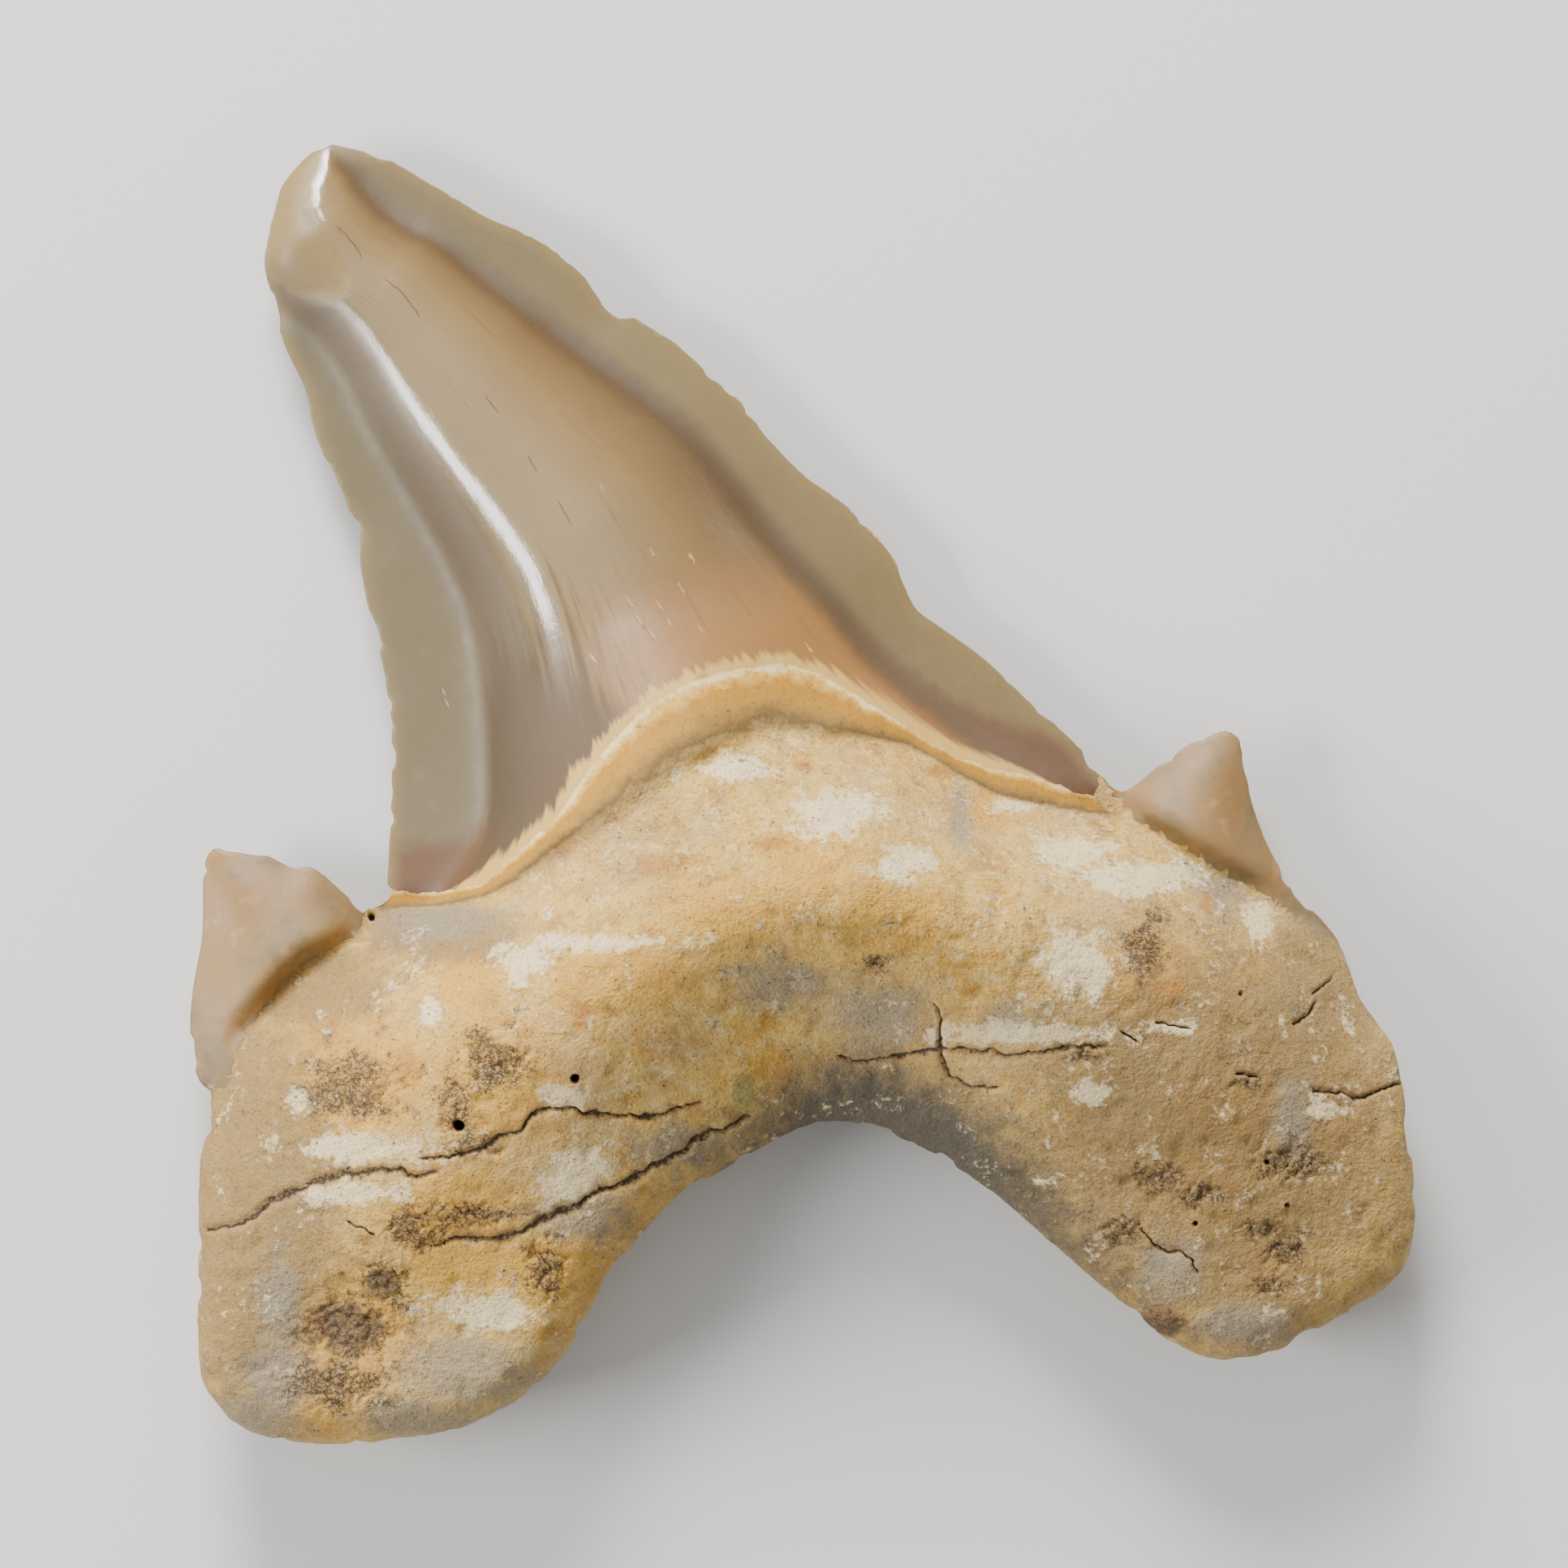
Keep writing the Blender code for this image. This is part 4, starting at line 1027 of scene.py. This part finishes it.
def tooth_mesh():
    """The tooth's one closed mesh, with the masks that its finish is mixed by."""
    outline, edge = outline_and_heights(RIM_GAP)
    outline = nicked(outline)
    rim = len(outline)
    coarse, coarse_edge = outline_and_heights(COARSE_GAP)
    top, enamel = tongue_points(outline)
    top, top_faces = triangles(top, rim)
    bottom, bottom_faces = triangles(lip_points(outline), rim)
    height = tongue_face(top, coarse, coarse_edge)
    height[:rim] = edge
    lip_height = lip_face(bottom, coarse, coarse_edge)[rim:]

    # The lower face starts with the upper one's rim, so the two share it
    inner = bottom[rim:]
    places = np.vstack([np.column_stack([top, height]), np.column_stack([inner, lip_height])])
    lower = np.concatenate([np.arange(rim), np.arange(len(top), len(places))])
    faces = [tuple(face) for face in top_faces]
    faces += [tuple(int(lower[i]) for i in reversed(face)) for face in bottom_faces]
    mesh = bpy.data.meshes.new("tooth")
    mesh.from_pydata([tuple(p * MM) for p in places], [], faces)
    mesh.update()

    masks = finish_masks(top, inner, coarse)
    normals = np.zeros(len(places) * 3)
    mesh.vertices.foreach_get("normal", normals)
    relief = relief_at(places, masks, on_bone(top, inner, enamel).astype(float), len(top), rim)
    places = places + normals.reshape(-1, 3) * relief[:, None]
    places[:, 2] = np.clip(places[:, 2], 0, CAD_BOX[1][2] / MM)
    mesh.vertices.foreach_set("co", (places * MM).ravel())
    mesh.update()

    for name, values in masks.items():
        layer = mesh.attributes.new(name, "FLOAT", "POINT")
        layer.data.foreach_set("value", values.astype(np.float32))
    centres = places[np.array(faces)].mean(axis=1)[:, :2]
    face_bone = on_bone(centres[:len(top_faces)], centres[len(top_faces):], enamel)
    mesh.polygons.foreach_set("material_index", face_bone.astype(np.int32))
    mesh.shade_smooth()
    return mesh


def tone(hex_colour):
    """An sRGB hex value as linear red, green, blue and alpha."""
    values = [int(hex_colour[i:i + 2], 16) / 255 for i in (1, 3, 5)]
    linear = [v / 12.92 if v <= 0.04045 else ((v + 0.055) / 1.055) ** 2.4 for v in values]
    return (*linear, 1.0)


def add(tree, kind, inputs, out=0, stops=(), **settings):
    """A node with its settings and with values or other sockets in its inputs; gives an output."""
    made = tree.nodes.new(kind)
    for name, value in settings.items():
        setattr(made, name, value)
    for _ in stops[2:]:
        made.color_ramp.elements.new(0.5)
    for element, (place, colour) in zip(made.color_ramp.elements if stops else (), stops):
        element.position = place
        element.color = tone(colour)
    for name, value in inputs.items():
        if isinstance(value, bpy.types.NodeSocket):
            tree.links.new(value, made.inputs[name])
        else:
            made.inputs[name].default_value = value
    return made.outputs[out]


def stained(tree, under, mask, breakup, low, high, strength, colour, ragged):
    """A stain laid over a colour where its mask is, with a ragged rim."""
    shifted = add(tree, "ShaderNodeMath", {0: breakup, 1: ragged, 2: -0.5 * ragged},
                  operation="MULTIPLY_ADD")
    reach_of_it = add(tree, "ShaderNodeMath", {0: mask, 1: shifted}, operation="ADD")
    share = add(tree, "ShaderNodeMapRange", {
        "Value": reach_of_it, "From Min": low, "From Max": high, "To Max": strength,
    }, interpolation_type="SMOOTHSTEP")
    over = colour if isinstance(colour, bpy.types.NodeSocket) else tone(colour)
    return add(tree, "ShaderNodeMix", {0: share, 6: under, 7: over}, 2, data_type="RGBA")


def start_material(name, mask_names, sizes_mm, raggedness):
    """A material with the mesh's own masks, and clouds of several sizes in mm, by name."""
    material = bpy.data.materials.new(name)
    material.use_nodes = True
    tree = material.node_tree
    place = add(tree, "ShaderNodeTexCoord", {}, "Object")
    field = {
        mask: add(tree, "ShaderNodeAttribute", {}, "Fac", attribute_name=mask)
        for mask in mask_names
    }
    for cloud, size in sizes_mm.items():
        field[cloud] = add(tree, "ShaderNodeTexNoise", {
            "Vector": place, "Scale": 1 / (size * MM), "Detail": 4.0, "Roughness": raggedness,
        })
    return material, tree, field


def finish_with(tree, colour, roughness, bump_height, bump_depth, bump_share):
    """The colour, gloss and fine relief go to the shader."""
    shader = tree.nodes["Principled BSDF"]
    relief = add(tree, "ShaderNodeBump", {
        "Height": bump_height, "Strength": bump_share, "Distance": bump_depth * MM,
    })
    for name, socket in (("Base Color", colour), ("Roughness", roughness), ("Normal", relief)):
        tree.links.new(socket, shader.inputs[name])
    return shader


# Ramps over the enamel: the mask they run over, and where they start and end
ENAMEL_RAMPS = {
    "above_foot": ("along_foot", 7.5, 0.5),
    "down_left": ("across", 0.50, 0.08),
    "at_foot": ("along_foot", 2.6, 0.3),
    "near_tip": ("along_foot", 10.0, 20.0),
    "by_edge": ("from_edge", 0.8, 0.05),
    "at_band": ("along_foot", 0.9, 0.0),
}
# Places where two masks meet
ENAMEL_MEETINGS = {
    "dome_foot": ("above_foot", "on_dome"),
    "low_left": ("dome_foot", "down_left"),
    "flange_foot": ("off_dome", "at_foot"),
    "high_flange": ("off_dome", "near_tip"),
    "ragged_foot": ("at_band", "on_dome"),
}
# The enamel's stains, with its bands of painted shade, in the order they lie: mask, patches that
# break up its rim, where the rim starts and ends, how strong it is, its colour, and how ragged the rim is
ENAMEL_STAINS = [
    ("middling", "small", 0.55, 1.10, 0.30, "#9b8468", 0.6),
    ("dome_foot", "streak", 0.20, 1.00, 0.90, "#93611c", 0.8),
    # The next two rows are painted shade over the enamel's own darker brown: on the left slope and in the
    # right groove
    ("left_slope_shade", "small", 0.10, 1.00, 0.85, "#5c4b31", 0.3),
    ("right_groove_shade", "small", 0.10, 1.00, 0.90, "#4d3819", 0.4),
    ("low_left", "streak", 0.05, 0.45, 0.90, "#49381e", 0.8),
    ("flange_foot", "small", 0.10, 0.55, 0.95, "#59370f", 0.5),
    ("high_flange", "small", 0.20, 1.10, 0.60, "#54471f", 0.4),
    ("by_edge", "small", 0.10, 1.00, 0.60, "#7d6632", 0.4),
    ("scar", "small", 0.10, 0.80, 0.85, "#816837", 0.3),
    ("streak", "small", 0.60, 0.78, 0.40, "#6a5536", 0.2),
    ("ragged_foot", "streak", 0.35, 0.75, 0.90, "#caa14e", 1.6),
]
# The enamel's grain runs from tip to foot over a dome about 14 mm wide, and changes once
# in about 4.5 mm of its length
DOME_WIDTH = 14.0
GRAIN_WIDTH = 0.35
GRAIN_PER_MM = 0.22


def fossil_enamel():
    """Shark enamel: fluorapatite crystal, grown smooth and polished by the sediment.

    It gives the eye a sharp glint over a milky grey-beige, brown where the flanges meet the
    dome, with painted shade laid over that brown, and orange towards its foot. Its crystal
    bundles are a few hundredths of a millimetre wide, too fine to show, so its grain is drawn 0.35 mm wide.
    """
    material, tree, field = start_material(
        "fossil enamel",
        ("across", "from_edge", "along_foot", "on_dome", "left_slope_shade", "right_groove_shade", "cusp", "scar",
         "hairline", "glint_fleck", "polish"),
        {"broad": 5.0, "middling": 2.0, "small": 0.7, "fine": 0.3},
        0.6,
    )
    grain_across = add(tree, "ShaderNodeMath", {0: field["across"], 1: DOME_WIDTH / GRAIN_WIDTH},
                       operation="MULTIPLY")
    grain_along = add(tree, "ShaderNodeMath", {0: field["along_foot"], 1: GRAIN_PER_MM},
                      operation="MULTIPLY")
    lengthwise = add(tree, "ShaderNodeCombineXYZ", {"X": grain_across, "Y": grain_along})
    field["streak"] = add(tree, "ShaderNodeTexNoise", {
        "Vector": lengthwise, "Scale": 1.0, "Detail": 3.0, "Roughness": 0.6,
    })
    field["off_dome"] = add(tree, "ShaderNodeMath", {0: 1.0, 1: field["on_dome"]}, operation="SUBTRACT")
    for name, (over, start, end) in ENAMEL_RAMPS.items():
        field[name] = add(tree, "ShaderNodeMapRange", {
            "Value": field[over], "From Min": start, "From Max": end,
        })
    for name, (one, other) in ENAMEL_MEETINGS.items():
        field[name] = add(tree, "ShaderNodeMath", {0: field[one], 1: field[other]}, operation="MULTIPLY")

    drift = add(tree, "ShaderNodeMath", {0: field["broad"], 1: 0.10, 2: -0.05}, operation="MULTIPLY_ADD")
    over_dome = add(tree, "ShaderNodeMath", {0: field["across"], 1: drift}, operation="ADD")
    # The dome's tone across it, darker at both sides: the enamel's own tone with painted shade where the
    # dome turns down to its flanges
    dome = add(tree, "ShaderNodeValToRGB", {"Fac": over_dome}, stops=(
        (0.0, "#57472c"), (0.12, "#665437"), (0.22, "#867453"), (0.50, "#897454"), (0.72, "#84693f"),
        (0.92, "#684e2a"),
    ))
    flange = add(tree, "ShaderNodeValToRGB", {"Fac": field["across"]}, stops=(
        (0.4, "#665838"), (0.6, "#735f34"),
    ))
    colour = stained(tree, flange, field["on_dome"], field["small"], 0.2, 0.8, 1.0, dome, 0.2)
    for name, rim, low, high, strength, over, ragged in ENAMEL_STAINS:
        colour = stained(tree, colour, field[name], field[rim], low, high, strength, over, ragged)
    cusp_colour = add(tree, "ShaderNodeValToRGB", {"Fac": field["middling"]}, stops=(
        (0.35, "#705b34"), (0.50, "#88693a"), (0.62, "#8c6630"), (0.72, "#9a7c48"),
    ))
    colour = stained(tree, colour, field["cusp"], field["fine"], 0.35, 0.65, 1.0, cusp_colour, 0.2)
    colour = stained(tree, colour, field["hairline"], field["fine"], 0.25, 0.8, 0.8, "#4a2f22", 0.3)
    # Painted glints: the small nicks in the enamel painted pale
    colour = stained(tree, colour, field["glint_fleck"], field["fine"], 0.3, 0.9, 0.75, "#cdb58a", 0.3)

    cloudy = add(tree, "ShaderNodeMath", {0: field["small"], 1: 0.20, 2: 0.45}, operation="MULTIPLY_ADD")
    gloss = add(tree, "ShaderNodeMapRange", {"Value": field["polish"], "To Min": cloudy, "To Max": 0.15})
    ripple = add(tree, "ShaderNodeMath", {0: field["streak"], 1: 0.8, 2: field["fine"]},
                 operation="MULTIPLY_ADD")
    shader = finish_with(tree, colour, gloss, ripple, 0.03, 0.25)
    shader.inputs["IOR"].default_value = 1.64
    shader.inputs["Subsurface Weight"].default_value = 0.08
    shader.inputs["Subsurface Radius"].default_value = (1.0, 0.85, 0.6)
    shader.inputs["Subsurface Scale"].default_value = 0.6 * MM
    return material


# The root's stains, and the painted shade along the arch, in the order they lie: mask, patches
# that break up its rim, where the rim starts and ends, how strong it is, its colour, and how
# ragged the rim is
ROOT_STAINS = [
    ("ochre", "torn", 0.05, 0.80, 0.80, "#c9942e", 2.4),
    ("tan", "torn", 0.10, 0.70, 0.80, "#82673b", 1.4),
    ("lilac", "torn", 0.05, 0.95, 0.80, "#8b7f68", 2.4),
    # Grey along the arch: partly weathering, partly painted shade on the slopes that face down
    ("arch", "small", 0.05, 0.95, 0.95, "#48443a", 0.6),
    ("bleached", "shred", 0.20, 0.60, 0.85, "#e8d3a2", 3.8),
    ("rust", "torn", 0.25, 0.95, 0.80, "#ad7428", 2.2),
    ("grime", "torn", 0.10, 0.70, 0.85, "#453321", 1.8),
    ("olive", "small", 0.45, 0.60, 0.6, "#77773a", 1.0),
]


def root_bone():
    """Root bone: porous phosphate, weathered out of chalky sand and brushed clean.

    It gives the eye a dull cream with ochre iron stains, chalk-white bleached patches,
    dark pores of 0.1 to 0.4 mm, and cracks filled with brown earth. Its finest pores are
    a few hundredths of a millimetre wide, so they are drawn coarser, 0.09 mm wide.
    """
    material, tree, field = start_material(
        "root bone",
        (*(row[0] for row in ROOT_STAINS), "band", "neck", "rough", "crack", "fringe", "hole"),
        {"broad": 7.0, "middling": 2.2, "flakes": 1.3, "small": 0.7, "fine": 0.28, "crumb": 0.16,
         "sand": 0.09},
        0.65,
    )
    half_small = add(tree, "ShaderNodeMath", {0: field["small"], 1: 0.5}, operation="MULTIPLY")
    field["torn"] = add(tree, "ShaderNodeMath", {0: field["flakes"], 1: 0.5, 2: half_small},
                        operation="MULTIPLY_ADD")
    half_fine = add(tree, "ShaderNodeMath", {0: field["fine"], 1: 0.4}, operation="MULTIPLY")
    field["shred"] = add(tree, "ShaderNodeMath", {0: field["flakes"], 1: 0.6, 2: half_fine},
                         operation="MULTIPLY_ADD")

    colour = add(tree, "ShaderNodeValToRGB", {"Fac": field["middling"]}, stops=(
        (0.28, "#9f7834"), (0.40, "#c19846"), (0.50, "#d4ac58"), (0.60, "#c9993c"), (0.72, "#a87826"),
    ))
    colour = stained(tree, colour, field["broad"], field["middling"], 0.45, 0.65, 0.5, "#b0936a", 0.5)
    colour = stained(tree, colour, field["flakes"], field["small"], 0.53, 0.68, 0.6, "#c08c30", 0.5)
    colour = stained(tree, colour, field["small"], field["fine"], 0.53, 0.66, 0.6, "#e4cd8e", 0.4)
    for name, rim, low, high, strength, over, ragged in ROOT_STAINS:
        colour = stained(tree, colour, field[name], field[rim], low, high, strength, over, ragged)
    neck_place = add(tree, "ShaderNodeMath", {0: field["small"], 1: 0.5, 2: -0.25}, operation="MULTIPLY_ADD")
    down_neck = add(tree, "ShaderNodeMath", {0: field["neck"], 1: neck_place}, operation="ADD")
    # Down the neck band from the enamel's foot: pale cream, orange, then olive-brown darkening by the neck
    # line, partly painted shade in the groove there
    neck_tone_and_groove_shade = add(tree, "ShaderNodeValToRGB", {"Fac": down_neck}, stops=(
        (0.03, "#ebd192"), (0.13, "#d2a243"), (0.28, "#b0790c"), (0.50, "#a97b1c"), (0.70, "#8f6c2c"),
        (0.84, "#715628"), (0.97, "#a98a4e"),
    ))

    # Darker and paler grains of sand, and pores between them
    sand = add(tree, "ShaderNodeMapRange", {
        "Value": field["sand"], "From Min": 0.40, "From Max": 0.60, "To Min": 0.84, "To Max": 1.08,
    })
    grey = add(tree, "ShaderNodeCombineColor", {"Red": sand, "Green": sand, "Blue": sand})
    colour = add(tree, "ShaderNodeMix", {0: 1.0, 6: colour, 7: grey}, 2, data_type="RGBA",
                 blend_type="MULTIPLY")
    pore = add(tree, "ShaderNodeMapRange", {
        "Value": field["crumb"], "From Min": 0.585, "From Max": 0.66,
    }, interpolation_type="SMOOTHSTEP")
    colour = stained(tree, colour, pore, field["small"], 0.5, 1.3, 0.7, "#6b522f", 0.6)

    colour = stained(tree, colour, field["band"], field["small"], 0.2, 0.8, 1.0, neck_tone_and_groove_shade, 0.8)

    # Crusts of brown earth: a broken net of dark lines over a darker ground
    in_patch = add(tree, "ShaderNodeMath", {0: field["torn"], 1: 3.6, 2: -2.1}, operation="MULTIPLY_ADD")
    rough = add(tree, "ShaderNodeMath", {0: field["rough"], 1: in_patch}, operation="ADD")
    colour = stained(tree, colour, rough, field["fine"], 0.00, 0.70, 0.65, "#7d6032", 1.6)
    off_line = add(tree, "ShaderNodeMath", {0: field["fine"], 1: 0.5}, operation="SUBTRACT")
    off_line = add(tree, "ShaderNodeMath", {0: off_line}, operation="ABSOLUTE")
    net = add(tree, "ShaderNodeMapRange", {
        "Value": off_line, "From Min": 0.06, "From Max": 0.015,
    }, interpolation_type="SMOOTHSTEP")
    crust = add(tree, "ShaderNodeMath", {0: rough, 1: net}, operation="MULTIPLY", use_clamp=True)
    colour = stained(tree, colour, crust, field["crumb"], 0.00, 0.40, 0.90, "#403021", 1.0)

    colour = stained(tree, colour, field["fringe"], field["small"], 0.15, 1.0, 0.60, "#a3834f", 1.6)
    colour = stained(tree, colour, field["crack"], field["fine"], 0.15, 0.75, 0.70, "#6d5430", 1.8)
    colour = stained(tree, colour, field["crack"], field["crumb"], 0.50, 0.90, 0.9, "#35271a", 3.4)
    colour = stained(tree, colour, field["hole"], field["fine"], 0.08, 0.3, 1.0, "#1a0c06", 0.1)

    dullness = add(tree, "ShaderNodeMapRange", {
        "Value": field["small"], "From Min": 0.3, "From Max": 0.7, "To Min": 0.62, "To Max": 0.88,
    })
    roughness_of_it = add(tree, "ShaderNodeMath", {0: field["crumb"], 1: 0.6, 2: field["fine"]},
                          operation="MULTIPLY_ADD")
    bumpy = add(tree, "ShaderNodeMapRange", {"Value": field["band"], "To Min": 0.65, "To Max": 0.2})
    shader = finish_with(tree, colour, dullness, roughness_of_it, 0.20, bumpy)
    shader.inputs["IOR"].default_value = 1.5
    return material


def put(name, data):
    made = bpy.data.objects.new(name, data)
    bpy.context.scene.collection.objects.link(made)
    return made


FLOOR_WIDTH = 1.2


def plain_floor():
    """A wide pale floor at the height that the tooth lies on."""
    half = FLOOR_WIDTH / 2
    mesh = bpy.data.meshes.new("floor")
    corners = [(-half, -half, 0), (half, -half, 0), (half, half, 0), (-half, half, 0)]
    mesh.from_pydata(corners, [], [(0, 1, 2, 3)])
    floor = put("floor", mesh)
    material = bpy.data.materials.new("pale paper")
    material.use_nodes = True
    shader = material.node_tree.nodes["Principled BSDF"]
    shader.inputs["Base Color"].default_value = tone("#d9d7d3")
    shader.inputs["Roughness"].default_value = 0.9
    mesh.materials.append(material)


def soft_lamp(name, place, width, length, along, watts):
    """A flat lamp that faces the tooth, its length in the direction given."""
    data = bpy.data.lights.new(name, "AREA")
    data.shape = "RECTANGLE"
    data.size = width
    data.size_y = length
    data.energy = watts
    away = Vector(place).normalized()
    side = Vector(along).cross(away).normalized()
    turn = Matrix((side, away.cross(side), away)).transposed()
    put(name, data).matrix_world = Matrix.LocRotScale(Vector(place), turn.to_quaternion(), None)


# The camera looks straight down, and this much of the tooth's plane fills its frame
VIEW_WIDTH = 61.8 * MM
VIEW_CENTRE = (-0.69 * MM, 0.29 * MM)
VIEW_HEIGHT = 4.0 * MM
LENS_MM = 200.0
SENSOR_MM = 36.0


def camera():
    data = bpy.data.cameras.new("camera")
    data.lens = LENS_MM
    data.sensor_width = SENSOR_MM
    data.clip_start = 0.01
    eye = put("camera", data)
    eye.location = (*VIEW_CENTRE, VIEW_HEIGHT + VIEW_WIDTH * LENS_MM / SENSOR_MM)
    bpy.context.scene.camera = eye


def studio():
    """Two lamps and an even pale sky. The strip lies along the dome and gives it its streak."""
    soft_lamp("softbox", (-0.07, 0.36, 0.20), width=0.16, length=0.16, along=(0, 1, 0), watts=4.1)
    soft_lamp("strip", (-0.323, -0.038, 0.197), width=0.09, length=0.20, along=(*GRAIN_RUN, 0), watts=1.65)
    world = bpy.data.worlds.new("studio")
    world.use_nodes = True
    world.node_tree.nodes["Background"].inputs["Color"].default_value = tone("#f2f4f7")
    world.node_tree.nodes["Background"].inputs["Strength"].default_value = 0.62
    bpy.context.scene.world = world


tooth = put("fossil_tooth", tooth_mesh())
tooth.data.materials.append(fossil_enamel())
tooth.data.materials.append(root_bone())
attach(tooth, "root")
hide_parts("tooth")

plain_floor()
studio()
camera()
